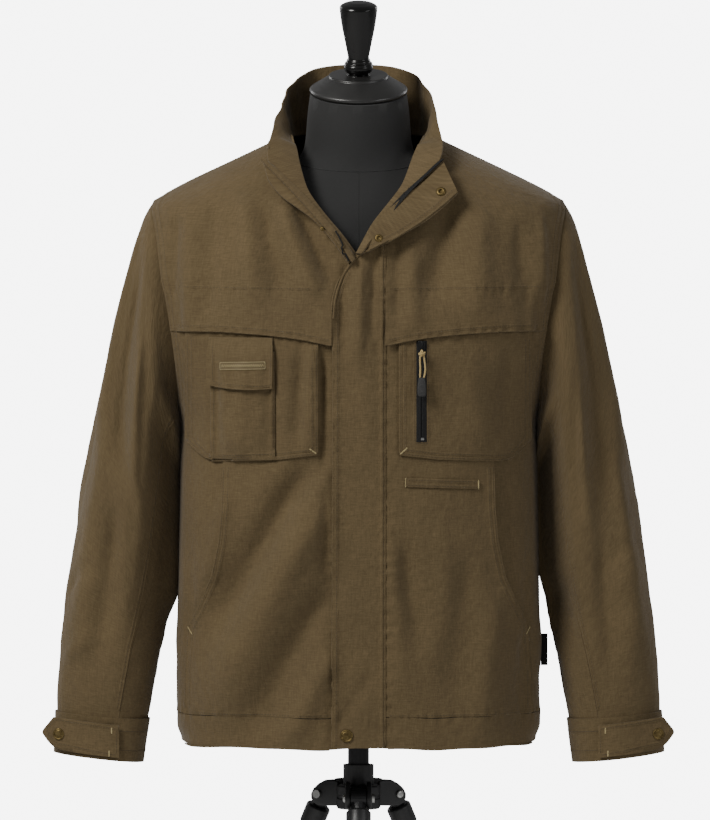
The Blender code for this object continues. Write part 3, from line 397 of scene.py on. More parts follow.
def turned(name, profile, steps=96, axis=(0.0, AXIS_Y)):
    """A turned piece, spun from a profile of (radius, height) from top to bottom of its outer side."""
    outline = bpy.data.meshes.new(name)
    piece = bpy.data.objects.new(name, outline)
    bpy.context.scene.collection.objects.link(piece)
    outline.from_pydata(
        [(axis[0] + r, axis[1], z) for r, z in profile], [(i, i + 1) for i in range(len(profile) - 1)], []
    )
    select_only(piece)
    bpy.ops.object.mode_set(mode="EDIT")
    bpy.ops.mesh.select_all(action="SELECT")
    bpy.ops.mesh.spin(steps=steps, angle=2 * math.pi, center=(axis[0], axis[1], 0.0), axis=(0, 0, 1))
    bpy.ops.mesh.select_all(action="SELECT")
    bpy.ops.mesh.remove_doubles(threshold=0.00002)
    bpy.ops.mesh.normals_make_consistent(inside=False)
    bpy.ops.object.mode_set(mode="OBJECT")
    bpy.ops.object.shade_smooth_by_angle(angle=math.radians(35.0))
    return piece


def eased(profile, turns=4):
    """A profile with its corners rounded a little: each corner becomes a short arc."""
    points = [Vector(p) for p in profile]
    result = [points[0]]
    for before, corner, after in zip(points, points[1:], points[2:]):
        reach = min(0.0009, (before - corner).length * 0.35, (after - corner).length * 0.35)
        start = corner + (before - corner).normalized() * reach
        end = corner + (after - corner).normalized() * reach
        for step in range(turns + 1):
            t = step / turns
            result.append(start * (1 - t) ** 2 + corner * 2 * t * (1 - t) + end * t * t)
    return [tuple(p) for p in result + [points[-1]]]


# Outlines as (radius, height over the top of the neck) in millimetres.
CAP_PROFILE = (
    (0.0, 22.2), (33.0, 22.2), (34.3, 21.8), (34.8, 21.0), (34.8, 20.0), (35.4, 19.4), (36.5, 18.9),
    (45.0, 13.3), (53.5, 8.0), (56.0, 6.3), (57.2, 5.2), (57.6, 4.0), (57.4, 2.2), (56.6, 0.9),
    (55.5, 0.2), (0.0, 0.0),
)
FINIAL_PROFILE = (
    (0.0, 110.0), (10.0, 109.3), (17.5, 107.4), (21.0, 105.4), (22.2, 103.6), (22.3, 102.4),
    (21.6, 95.0), (20.4, 86.0), (18.9, 76.8), (17.0, 67.5), (15.3, 58.7), (13.6, 50.0), (12.5, 44.0),
    (12.4, 42.2), (13.0, 41.2), (13.9, 40.2), (14.2, 39.2), (13.9, 38.2), (14.6, 37.4), (16.0, 36.6),
    (16.4, 35.7), (16.2, 34.9), (16.9, 34.0), (17.2, 32.2), (17.0, 29.8), (16.0, 27.2), (14.4, 25.2),
    (12.8, 24.0), (12.6, 23.2), (13.6, 22.7), (14.0, 22.25), (0.0, 22.25),
)
for name, profile, node, finish in (
    ("cap", CAP_PROFILE, "neck_cap", satin_lacquer_painted_highlight),
    ("knob", FINIAL_PROFILE, "finial", gloss_lacquer),
):
    outline = eased([(r / 1000, h / 1000) for r, h in profile], 2)
    piece = turned(name, outline, axis=(0.0, 0.0))
    piece.rotation_euler = (NECK_TILT, 0.0, 0.0)
    piece.location = NECK_TOP
    bpy.ops.object.transform_apply(location=True, rotation=True, scale=True)
    dress(piece, finish, "form_and_jacket", "black_gloss", node)

# ---------------------------------------------------------------- hub and knuckles
# The hub is a moulded ring round the column with three pairs of rounded lugs. Each leg hangs from a bolt
# between its lugs by a moulded shoulder, and a nut closes the bolt on the other side.
HUB_PROFILE = (
    (13.1, 718.0), (24.5, 718.0), (26.0, 716.0), (26.0, 706.5), (24.8, 705.5), (24.8, 702.5), (26.0, 701.5),
    (26.0, 692.0), (24.5, 690.0), (13.1, 690.0), (13.1, 718.0)
)
LUG_OUTLINE = (
    (0.0195, 0.0160), (0.0280, 0.0182), (0.0370, 0.0172), (0.0460, 0.0125), (0.0530, 0.0065),
    (0.0565, 0.0000), (0.0562, -0.0055), (0.0530, -0.0105), (0.0465, -0.0136), (0.0380, -0.0138),
    (0.0195, -0.0128),
)
PIVOT_Z = 0.706
PIVOT_REACH = 0.047
hub_parts = [turned("hub_ring", [(r / 1000, z / 1000) for r, z in HUB_PROFILE])]
for hand, heading in (("front", 0.0), ("left", 120.0), ("right", -120.0)):
    outward = Vector((math.sin(math.radians(heading)), -math.cos(math.radians(heading)), 0.0))
    sideways = Vector((0.0, 0.0, 1.0)).cross(outward)
    axis = Vector((0.0, AXIS_Y, 0.0))
    for offset in (-0.0155, 0.0095):
        outline = [
            axis + outward * r + sideways * offset + Vector((0.0, 0.0, PIVOT_Z + h)) for r, h in LUG_OUTLINE
        ]
        mesh = bpy.data.meshes.new("lug")
        mesh.from_pydata([tuple(v) for v in outline], [], [tuple(range(len(outline)))])
        lug = bpy.data.objects.new(f"lug_{hand}", mesh)
        bpy.context.scene.collection.objects.link(lug)
        select_only(lug)
        bpy.ops.object.mode_set(mode="EDIT")
        bpy.ops.mesh.select_all(action="SELECT")
        bpy.ops.mesh.extrude_region_move(TRANSFORM_OT_translate={"value": tuple(sideways * 0.006)})
        bpy.ops.mesh.select_all(action="SELECT")
        bpy.ops.mesh.normals_make_consistent(inside=False)
        bpy.ops.object.mode_set(mode="OBJECT")
        edges = lug.modifiers.new("Edges", "BEVEL")
        edges.width, edges.segments, edges.limit_method = 0.0013, 3, "ANGLE"
        bpy.ops.object.modifier_apply(modifier=edges.name)
        bpy.ops.object.shade_smooth_by_angle(angle=math.radians(40.0))
        hub_parts.append(lug)
    pivot = axis + outward * PIVOT_REACH + Vector((0.0, 0.0, PIVOT_Z))
    splay = math.radians(25)
    fall = (outward * math.sin(splay) - Vector((0.0, 0.0, math.cos(splay)))).normalized()
    shoulder = turned(
        f"shoulder_{hand}",
        eased(
            [
                (0.0, 0.0158), (0.0125, 0.0158), (0.0146, 0.0180), (0.0146, 0.0400), (0.0137, 0.0420),
                (0.0137, 0.0440), (0.0146, 0.0460), (0.0146, 0.0560), (0.0136, 0.0580), (0.0, 0.0580)
            ]
        ),
        48,
        (0.0, 0.0),
    )
    shoulder.rotation_euler = fall.to_track_quat("Z", "Y").to_euler()
    shoulder.location = pivot
    bpy.ops.object.transform_apply(location=True, rotation=True, scale=True)
    dress(shoulder, black_plastic, f"{hand}_leg", "black_plastic")
    nut = turned(
        f"nut_{hand}",
        eased(
            [(0.0, 0.0030), (0.0026, 0.0030), (0.0042, 0.0024), (0.0048, 0.0012), (0.0048, 0.0), (0.0, 0.0)]
        ),
        24, (0.0, 0.0)
    )
    nut.rotation_euler = (-sideways).to_track_quat("Z", "Y").to_euler()
    nut.location = pivot - sideways * 0.0156
    bpy.ops.object.transform_apply(location=True, rotation=True, scale=True)
    dress(nut, steel, "stand", "steel")
hub = joined_as("hub", hub_parts)
dress(hub, black_plastic, "stand", "black_plastic", "tripod_hub")

# ---------------------------------------------------------------- canvas
# Olive brown cotton canvas: a plain weave of slightly uneven yarn, with slubs both ways, faint fading in
# broad blotches, and the soft sheen of brushed cotton.
canvas_finish = Finish("canvas", 0.88, Sheen_Weight=0.10, Sheen_Roughness=0.45, Specular_IOR_Level=0.30)
yarn_at = canvas_finish.place(uv="cloth")
warp = canvas_finish.wave(yarn_at, 330.0, "X", 1.2, 3.0)
weft = canvas_finish.wave(yarn_at, 300.0, "Y", 1.2, 3.0)
weave = canvas_finish.maths("MAXIMUM", warp, weft)
slub_across = canvas_finish.noise(canvas_finish.place((90.0, 620.0, 1.0), "cloth"), 1.0, 3.0, 0.7)
slub_down = canvas_finish.noise(canvas_finish.place((560.0, 70.0, 1.0), "cloth"), 1.0, 3.0, 0.7)
slubs = canvas_finish.maths(
    "ADD", canvas_finish.maths("MULTIPLY", slub_across, 0.55),
    canvas_finish.maths("MULTIPLY", slub_down, 0.45)
)
fading = canvas_finish.noise(canvas_finish.place((1.0, 1.0, 1.0), "cloth"), 9.0, 3.0, 0.6)
yarn_colour = canvas_finish.ramp(
    slubs, (0.32, (0.088, 0.0603, 0.0262)), (0.50, (0.114, 0.0795, 0.0362)), (0.68, (0.143, 0.1020, 0.0485))
)
yarn_colour = canvas_finish.mix(
    yarn_colour, canvas_finish.ramp(fading, (0.25, 0.86), (0.75, 1.08)), 0.8, "MULTIPLY"
)
yarn_colour = canvas_finish.mix(
    yarn_colour, canvas_finish.ramp(weave, (0.35, 0.68), (0.85, 1.0)), 0.50, "MULTIPLY"
)
creases = canvas_finish.noise(canvas_finish.place((1.0, 0.7, 1.0), "cloth"), 130.0, 2.0, 0.5)
canvas_relief = canvas_finish.bump(creases, 0.80, 0.0016)
canvas_relief = canvas_finish.bump(weave, 0.55, 0.00025, canvas_relief)
canvas_relief = canvas_finish.bump(slubs, 0.30, 0.0004, canvas_relief)
canvas = canvas_finish.finish(yarn_colour, None, canvas_relief)

# Soft folds of the body in metres, as (x0, z0, x1, z1, half width, height, bow): a hollow is under 0.
FRONT_FOLDS = (
    # wearer's right of the yoke, hanging from the neck and the shoulder
    (-0.071, 1.403, -0.024, 1.301, 0.008, -0.0055, 0.002),
    (-0.090, 1.403, -0.046, 1.290, 0.010, 0.0042, 0.002),
    (-0.113, 1.405, -0.086, 1.290, 0.011, -0.0038, 0.001),
    (-0.133, 1.412, -0.120, 1.275, 0.012, 0.0034, 0.0),
    (-0.169, 1.400, -0.178, 1.262, 0.011, -0.0026, 0.0),
    (-0.195, 1.400, -0.197, 1.262, 0.009, 0.0022, 0.0),
    (-0.213, 1.388, -0.218, 1.290, 0.006, -0.0020, 0.0),
    # wearer's left of the yoke, with the hollow under the turned back placket
    (0.106, 1.402, 0.090, 1.292, 0.016, -0.0062, 0.0),
    (0.064, 1.350, 0.062, 1.256, 0.010, 0.0028, 0.0),
    (0.143, 1.396, 0.137, 1.268, 0.015, 0.0028, 0.0),
    (0.043, 1.358, 0.046, 1.270, 0.006, -0.0026, 0.0),
    (0.187, 1.378, 0.198, 1.262, 0.010, -0.0022, 0.0),
    (0.212, 1.392, 0.214, 1.268, 0.007, 0.0020, 0.0),
    # wearer's right of the lower front: broad drapes from the placket down to the side
    (-0.039, 1.060, -0.160, 0.822, 0.024, 0.0078, 0.004),
    (-0.058, 1.100, -0.178, 0.890, 0.018, -0.0066, 0.003),
    (-0.030, 0.962, -0.133, 0.775, 0.018, -0.0058, 0.003),
    (-0.030, 0.884, -0.086, 0.770, 0.014, 0.0046, 0.0),
    (-0.033, 1.094, -0.080, 1.030, 0.008, 0.0020, 0.0),
    (-0.150, 1.070, -0.175, 0.960, 0.012, 0.0022, 0.0),
    (-0.0405, 1.238, -0.0400, 1.085, 0.0060, -0.0030, 0.0),
    (-0.0500, 1.236, -0.0440, 1.120, 0.0045, 0.0016, 0.0),
    (-0.0380, 1.060, -0.0390, 0.960, 0.0060, -0.0020, 0.0),
    # wearer's left of the lower front
    (0.054, 1.010, 0.074, 0.890, 0.011, -0.0027, 0.002),
    (0.038, 1.015, 0.050, 0.820, 0.011, 0.0022, 0.0),
    (0.130, 0.990, 0.112, 0.815, 0.018, -0.0030, 0.003),
    (0.160, 0.945, 0.142, 0.780, 0.015, 0.0028, 0.0),
    (0.096, 1.035, 0.108, 0.890, 0.015, 0.0018, 0.0),
    (0.194, 0.900, 0.188, 0.780, 0.010, -0.0022, 0.0),
    # placket and chest pockets
    (-0.010, 0.836, 0.022, 0.794, 0.008, 0.0016, 0.0),
    (-0.022, 0.800, 0.018, 0.862, 0.008, -0.0014, 0.0),
    (0.004, 1.290, 0.012, 1.100, 0.012, 0.0012, 0.0),
    (-0.068, 1.236, -0.073, 1.115, 0.007, -0.0020, 0.0),
    (0.131, 1.236, 0.140, 1.112, 0.016, 0.0016, 0.0),
    (0.176, 1.236, 0.170, 1.125, 0.012, -0.0016, 0.0),
    (-0.160, 1.240, -0.150, 1.110, 0.010, 0.0018, 0.0),
    (-0.0165, 1.335, -0.0200, 1.235, 0.0055, -0.0026, 0.0),
    (0.0040, 1.340, -0.0040, 1.215, 0.0080, 0.0026, 0.0),
    (0.0180, 1.345, 0.0150, 1.240, 0.0050, -0.0018, 0.0),
    (-0.1060, 1.225, -0.1030, 1.100, 0.0080, -0.0028, 0.0),
    (-0.1330, 1.225, -0.1380, 1.100, 0.0110, 0.0024, 0.0),
    (-0.1640, 1.220, -0.1650, 1.100, 0.0060, -0.0018, 0.0),
    (-0.0550, 1.236, -0.0580, 1.118, 0.0060, 0.0024, 0.0),
)
BACK_FOLDS = (
    (-0.165, 1.385, -0.120, 1.120, 0.020, 0.0050, 0.006),
    (-0.130, 1.370, -0.080, 1.150, 0.018, -0.0042, 0.004),
    (-0.060, 1.400, -0.045, 1.180, 0.016, 0.0026, 0.002),
    (0.020, 1.420, 0.006, 1.190, 0.018, -0.0024, 0.0),
    (0.085, 1.395, 0.060, 1.160, 0.018, 0.0034, 0.003),
    (0.140, 1.380, 0.105, 1.110, 0.019, -0.0046, 0.004),
    (0.178, 1.360, 0.150, 1.080, 0.016, 0.0040, 0.004),
    (-0.185, 1.130, -0.060, 0.985, 0.020, -0.0036, 0.006),
    (0.190, 1.150, 0.070, 1.020, 0.018, -0.0034, 0.005),
    (-0.110, 1.040, -0.135, 0.790, 0.020, 0.0048, 0.003),
    (-0.050, 1.060, -0.062, 0.800, 0.018, -0.0042, 0.002),
    (0.010, 1.030, 0.000, 0.790, 0.019, 0.0040, 0.002),
    (0.066, 1.050, 0.074, 0.800, 0.016, -0.0040, 0.003),
    (0.125, 1.060, 0.142, 0.790, 0.021, 0.0050, 0.002),
    (0.180, 1.000, 0.176, 0.800, 0.012, -0.0026, 0.0),
    (-0.175, 0.970, -0.180, 0.790, 0.012, -0.0026, 0.0),
)
SIDE_FOLDS = (
    (-0.035, 1.120, -0.020, 0.860, 0.014, 0.0034, 0.002),
    (0.010, 1.060, 0.018, 0.800, 0.013, -0.0036, 0.002),
    (0.045, 1.130, 0.050, 0.900, 0.012, 0.0028, 0.0),
    (-0.062, 1.000, -0.070, 0.800, 0.012, -0.0024, 0.0),
)


def soft_step(value, low, high):
    t = np.clip((value - low) / (high - low), 0.0, 1.0)
    return t * t * (3 - 2 * t)


FOLD_GAIN = 2.0  # how much deeper the folds hang than they were first laid out


def uneven(across, down, cell, seed):
    """Smooth unevenness from -1 to 1, each hump about a cell wide."""
    grid = np.random.default_rng(seed).uniform(-1.0, 1.0, (64, 64))
    column, row = np.floor(across / cell).astype(int), np.floor(down / cell).astype(int)
    a, b = across / cell - column, down / cell - row
    a, b = a * a * (3 - 2 * a), b * b * (3 - 2 * b)
    lower = grid[column % 64, row % 64] * (1 - a) + grid[(column + 1) % 64, row % 64] * a
    upper = grid[column % 64, (row + 1) % 64] * (1 - a) + grid[(column + 1) % 64, (row + 1) % 64] * a
    return lower * (1 - b) + upper * b


def creased(across, down):
    """The small unevenness of worn canvas, a little longer down the cloth than across."""
    return (
        0.0011 * uneven(across, down * 0.5, 0.030, 3)
        + 0.0006 * uneven(across + down * 0.3, down * 0.6, 0.015, 5)
        + 0.00028 * uneven(across, down, 0.007, 7)
    )


def drawn_up(along, off, height=0.0008, reach=0.007, pitch=0.0125):
    """Short puckers across a sewn edge."""
    return (
        height * np.sin(along * 2 * math.pi / pitch + 1.8 * np.sin(along * 83))
        * np.exp(-((off / reach) ** 2))
    )


def folded(across, down, folds):
    """The height of a table of folds at points given by two coordinates."""
    total = np.zeros(len(across))
    for a0, d0, a1, d1, width, height, bow in folds:
        run = np.array((a1 - a0, d1 - d0))
        length = np.hypot(*run)
        run /= length
        along = ((across - a0) * run[0] + (down - d0) * run[1]) / length
        off = (across - a0) * run[1] - (down - d0) * run[0]
        off = off - bow * 4 * along * (1 - along)
        ends = soft_step(along, -0.12, 0.22) * (1 - soft_step(along, 0.74, 1.12))
        spread = width * (0.8 + 0.5 * np.clip(along, 0.0, 1.0))
        total += height * ends * np.exp(-((off / spread) ** 2))
    return total * FOLD_GAIN


HALF_WIDTH = 0.214
HALF_DEPTH = 0.125
# The free edge: x, height.
YOKE_HEM = ((0.031, 0.070, 0.119, 0.167, 0.215), (1.2385, 1.247, 1.252, 1.255, 1.255))


def drape_body(points):
    """Where the body's cloth hangs once it is worn: all layers at a place move alike."""
    x, y, z = points[:, 0], points[:, 1] - AXIS_Y, points[:, 2]
    across = np.sign(x) * np.abs(x / HALF_WIDTH) ** 1.4 / HALF_WIDTH
    deep = np.sign(y) * np.abs(y / HALF_DEPTH) ** 1.4 / HALF_DEPTH
    lift = 7.0 * soft_step(z, 1.375, 1.47)
    outward = np.stack((across, deep, lift), 1)
    outward /= np.linalg.norm(outward, axis=1)[:, None]
    facing = soft_step(np.abs(y), 0.012, 0.055)
    height = np.where(y < 0, folded(x, z, FRONT_FOLDS), folded(x, z, BACK_FOLDS)) * facing
    height += (
        folded(y, z, SIDE_FOLDS) * (1 - soft_step(np.abs(y), 0.03, 0.08)) * soft_step(np.abs(x), 0.15, 0.19)
    )
    round_body = np.arctan2(x, np.abs(y)) * 0.16
    height += creased(round_body + np.sign(y) * 0.8, z)
    height += drawn_up(round_body, z - 0.8080)
    front = (y < 0) * facing
    height += drawn_up(x, z - 1.3030, 0.0007) * front
    height += drawn_up(x, z - np.interp(np.abs(x), YOKE_HEM[0], YOKE_HEM[1]), 0.0009, 0.007, 0.015) * front
    height += (
        drawn_up(z, x - 0.0330, 0.0008, 0.008, 0.017) * front
        + drawn_up(z, x + 0.0290, 0.0008, 0.008, 0.021) * front
    )
    rests = soft_step(z, 0.84, 0.95) * (1 - soft_step(z, 1.15, 1.18)) * (1 - soft_step(np.abs(y), 0.03, 0.06))
    height *= 1 - 0.9 * rests * soft_step(np.abs(x), 0.17, 0.20)
    hole = ((z - 1.278) / 0.128) ** 2 + (y / 0.064) ** 2
    height *= np.where((np.abs(x) > 0.16) & (z > 1.13), soft_step(hole, 1.02, 1.55), 1.0)
    height *= 1 - soft_step(z, 1.405, 1.45)
    moved = points + outward * height[:, None]
    hem = 1 - soft_step(z, 0.79, 0.90)
    moved[:, 2] += hem * (0.0009 * np.sin(x * 42 + 0.6) + 0.0005 * np.sin(x * 95 + y * 30))
    corner = soft_step(np.abs(x), 0.194, 0.214) * (1 - soft_step(z, 0.770, 0.792))
    moved[:, 0] -= np.sign(x) * 0.0050 * corner
    moved[:, 2] += 0.0028 * corner
    return moved


def map_cloth(piece, across, down):
    """The cloth's own coordinates in metres, for its weave."""
    layer = piece.data.uv_layers.get("cloth") or piece.data.uv_layers.new(name="cloth")
    corners = np.empty(len(piece.data.loops), dtype=np.int32)
    piece.data.loops.foreach_get("vertex_index", corners)
    layer.data.foreach_set("uv", np.stack((across[corners], down[corners]), 1).ravel())


ring_angles = np.linspace(0.0, math.pi, 400)
ring_points = np.stack(
    (
        HALF_WIDTH * np.sign(np.sin(ring_angles)) * np.abs(np.sin(ring_angles)) ** (1 / 1.2),
        HALF_DEPTH * np.sign(np.cos(ring_angles)) * np.abs(np.cos(ring_angles)) ** (1 / 1.2),
    ),
    1,
)
ring_lengths = np.concatenate(([0.0], np.cumsum(np.linalg.norm(np.diff(ring_points, axis=0), axis=1))))
ring_turns = np.arctan2(ring_points[:, 0], ring_points[:, 1])


def body_cloth(points, from_back):
    """Length round the body, from the middle of the front or of the back, and height."""
    x, y, z = points[:, 0], points[:, 1] - AXIS_Y, points[:, 2]
    turn = np.arctan2(np.abs(x), y if from_back else -y)
    return np.sign(x) * np.interp(turn, ring_turns, ring_lengths), z + 0.9 * np.maximum(z - 1.40, 0.0)


MOUTH = (
    (0.2050, 0.811), (0.2040, 0.860), (0.2000, 0.909), (0.1870, 0.934), (0.1715, 0.969), (0.1630, 1.010),
    (0.1595, 1.050), (0.1583, 1.098)
)
mouth_line = np.array(MOUTH)[::-1]
mouth_line = np.stack([np.interp(np.linspace(0, 7, 80), np.arange(8), mouth_line[:, i]) for i in (0, 1)], 1)


def mouth_swell(points, upper):
    """How far the cloth moves in or out beside the hand pocket's mouth: the front gapes, the side sinks."""
    away = np.full(len(points), 1.0)
    for x, z in mouth_line:
        away = np.minimum(away, np.hypot(np.abs(points[:, 0]) - x, points[:, 2] - z))
    share = np.exp(-((away / (0.011 if upper else 0.016)) ** 2))
    share *= (
        soft_step(points[:, 2], 0.880, 0.930) * (1 - soft_step(points[:, 2], 1.070, 1.100))
        * (points[:, 1] < AXIS_Y)
    )
    return share * (-0.0030 if upper else 0.0022)


def body_panel(node, levels, from_back=False):
    """One cut piece of the jacket's body, from its CAD node."""
    piece = copy_of(node, node + "_cloth", levels)
    points = points_of(piece)
    map_cloth(piece, *body_cloth(points, from_back))
    points = drape_body(points)
    if node.startswith(("front_main", "side_front")):
        points[:, 1] += mouth_swell(points, node.startswith("front_main"))
    if node == "placket":  # its folded edge laps over the right front and the yoke
        edge = np.interp(
            points[:, 2], (0.770, 1.060, 1.290, 1.305, 1.315, 1.330, 1.339),
            (-0.0306, -0.0294, -0.0285, -0.0240, -0.0190, -0.0120, -0.0030)
        )
        lap = 1 - soft_step(points[:, 0] - edge, 0.0, 0.012)
        points[:, 0] -= 0.0026 * lap * soft_step(points[:, 2], 1.225, 1.262) + 0.0004 * lap
        points[:, 1] -= 0.0016 * lap
    if node.startswith("front_yoke"):  # the flap's outer corner tucks in beside the sleeve
        tucked = soft_step(np.abs(points[:, 0]), 0.200, 0.214) * (1 - soft_step(points[:, 2], 1.275, 1.320))
        points[:, 0] -= np.sign(points[:, 0]) * 0.0040 * tucked
        points[:, 1] += 0.0030 * tucked
    if node == "phone_flap":  # its free edge stands off the pocket
        points[:, 1] -= 0.0028 * (1 - soft_step(points[:, 2], 1.190, 1.222))
    move_points(piece, points)
    dress(piece, canvas, "form_and_jacket", "canvas", node)
    return piece


# ---------------------------------------------------------------- body of the jacket
# Back, two fronts with the side fronts tucked under the curved pocket mouths, two yokes whose lower edges
# hang free, the band round the hem and the placket, all canvas, sewn together over the form.
body_pieces = {}
for node, levels, flat, area, from_back in (
    ("back", 3, (0.56, 0.72), 0.36, True),
    ("front_main_right", 3, (0.20, 0.50), 0.088, False),
    ("front_main_left", 3, (0.18, 0.50), 0.076, False),
    ("side_front_right", 3, (0.14, 0.50), 0.052, False),
    ("side_front_left", 3, (0.14, 0.50), 0.052, False),
    ("front_yoke_right", 3, (0.26, 0.26), 0.054, False),
    ("front_yoke_left", 3, (0.26, 0.26), 0.054, False),
    ("hem_band_back", 3, (0.545, 0.0375), None, True),
    ("hem_band_right", 3, (0.275, 0.0375), None, False),
    ("hem_band_left", 3, (0.252, 0.0375), None, False),
    ("placket", 3, (0.060, 0.62), None, False),
):
    body_pieces[node] = body_panel(node, levels, from_back)

# ---------------------------------------------------------------- sleeves and cuffs
# Two piece sleeves set into the armholes, each closed by a straight cuff with a pointed tab. The cloth
# falls in long ridges from the shoulder, hollows next to the body and creases a little at the elbow.
SLEEVE_ROWS = np.array(
    [
        (0.00, 0.2405, 1.4060, 0.2105, 1.1500, 0.064, 0.000),
        (0.04, 0.2540, 1.3880, 0.2135, 1.1380, 0.070, 0.000),
        (0.12, 0.2660, 1.3370, 0.2155, 1.1120, 0.076, 0.000),
        (0.24, 0.2850, 1.2660, 0.2155, 1.0800, 0.075, 0.001),
        (0.36, 0.2990, 1.2000, 0.2155, 1.0380, 0.072, 0.001),
        (0.48, 0.3120, 1.1400, 0.2157, 1.0000, 0.068, 0.000),
        (0.60, 0.3260, 1.0700, 0.2168, 0.9550, 0.065, -0.002),
        (0.72, 0.3380, 0.9930, 0.2215, 0.9150, 0.061, -0.005),
        (0.86, 0.3500, 0.9020, 0.2325, 0.8680, 0.055, -0.009),
        (1.00, 0.3563, 0.8080, 0.2445, 0.7990, 0.045, -0.013),
        (1.10, 0.3590, 0.7600, 0.2520, 0.7480, 0.045, -0.014),
    ]
)
SLEEVE_LENGTH = 0.60
# Folds round the sleeve, as (turn0, down0, turn1, down1, half width, height, bow): turns in metres from the
# outer line, more to the front, and down in metres from the shoulder.
SLEEVE_FOLDS_RIGHT = (
    (0.030, 0.02, 0.040, 0.30, 0.014, 0.0056, 0.0),
    (0.075, 0.05, 0.092, 0.28, 0.017, -0.0062, 0.0),
    (0.060, 0.26, 0.052, 0.52, 0.018, 0.0040, 0.004),
    (0.118, 0.10, 0.122, 0.30, 0.012, 0.0040, 0.0),
    (0.000, 0.10, 0.008, 0.42, 0.015, -0.0030, 0.0),
    (0.095, 0.34, 0.070, 0.56, 0.013, -0.0040, 0.003),
    (0.020, 0.47, 0.075, 0.42, 0.009, -0.0022, 0.0),
    (-0.060, 0.04, -0.075, 0.36, 0.018, -0.0050, 0.0),
    (-0.035, 0.06, -0.030, 0.44, 0.016, 0.0050, 0.0),
    (-0.100, 0.12, -0.090, 0.50, 0.016, 0.0040, 0.004),
    (-0.060, 0.36, -0.020, 0.42, 0.009, -0.0030, 0.0),
    (-0.090, 0.30, -0.040, 0.33, 0.008, -0.0030, 0.0),
    (0.030, 0.545, 0.085, 0.50, 0.009, 0.0018, 0.0),
)
SLEEVE_FOLDS_LEFT = (
    (0.038, 0.02, 0.034, 0.33, 0.015, 0.0044, 0.0),
    (0.082, 0.04, 0.088, 0.36, 0.020, -0.0046, 0.003),
    (0.064, 0.30, 0.058, 0.55, 0.016, 0.0036, -0.003),
    (0.124, 0.16, 0.116, 0.38, 0.012, 0.0036, 0.0),
    (0.004, 0.08, 0.004, 0.36, 0.014, -0.0026, 0.0),
    (0.100, 0.38, 0.082, 0.56, 0.013, -0.0038, 0.0),
    (0.015, 0.415, 0.090, 0.405, 0.010, -0.0012, 0.002),
    (0.030, 0.455, 0.085, 0.435, 0.010, 0.0008, 0.0),
    (-0.055, 0.05, -0.080, 0.33, 0.017, -0.0048, 0.0),
    (-0.030, 0.05, -0.036, 0.46, 0.015, 0.0046, 0.0),
    (-0.105, 0.10, -0.095, 0.48, 0.017, 0.0042, 0.003),
    (-0.070, 0.38, -0.020, 0.40, 0.009, -0.0030, 0.0),
    (-0.095, 0.27, -0.045, 0.31, 0.008, -0.0028, 0.0),
)


def sleeve_place(points):
    """For each point its way down the sleeve, its turn in radians (0 outside, more to the front), the radial
    direction and the sleeve's girth there."""
    x, y, z = np.abs(points[:, 0]), points[:, 1] - AXIS_Y, points[:, 2]
    downs = np.linspace(0.0, 1.10, 89)
    rows = np.stack([np.interp(downs, SLEEVE_ROWS[:, 0], SLEEVE_ROWS[:, i]) for i in range(1, 7)], 1)
    sides = (
        (rows[:, 2] - rows[:, 0])[None] * (z[:, None] - rows[:, 1])
        - (rows[:, 3] - rows[:, 1])[None] * (x[:, None] - rows[:, 0])
    )
    crossed = np.argmax(sides[:, 1:] * sides[:, :-1] <= 0, axis=1)
    a, b = (
        np.take_along_axis(sides, crossed[:, None], 1)[:, 0],
        np.take_along_axis(sides, crossed[:, None] + 1, 1)[:, 0]
    )
    share = np.clip(a / np.where(a == b, 1.0, a - b), 0.0, 1.0)
    none = ~np.any(sides[:, 1:] * sides[:, :-1] <= 0, axis=1)
    down = downs[crossed] + share * (downs[1] - downs[0])
    down = np.where(none, np.where(z > 1.1, 0.0, 1.10), down)
    at = np.stack([np.interp(down, SLEEVE_ROWS[:, 0], SLEEVE_ROWS[:, i]) for i in range(1, 7)], 1)
    middle = np.stack(((at[:, 0] + at[:, 2]) / 2, at[:, 5], (at[:, 1] + at[:, 3]) / 2), 1)
    half = np.hypot(at[:, 0] - at[:, 2], at[:, 1] - at[:, 3]) / 2
    offset = np.stack((x, y, z), 1) - middle
    outer = np.stack((at[:, 0] - at[:, 2], np.zeros(len(x)), at[:, 1] - at[:, 3]), 1)
    outer /= np.linalg.norm(outer, axis=1)[:, None]
    along_outer = (offset * outer).sum(1)
    turn = np.arctan2(-offset[:, 1] / at[:, 4], along_outer / half)
    radial = outer * (np.cos(turn) / half)[:, None]
    radial[:, 1] -= np.sin(turn) / at[:, 4]
    radial /= np.linalg.norm(radial, axis=1)[:, None]
    radial[:, 0] *= np.sign(points[:, 0])
    return down, turn, radial, np.sqrt((half**2 + at[:, 4] ** 2) / 2)


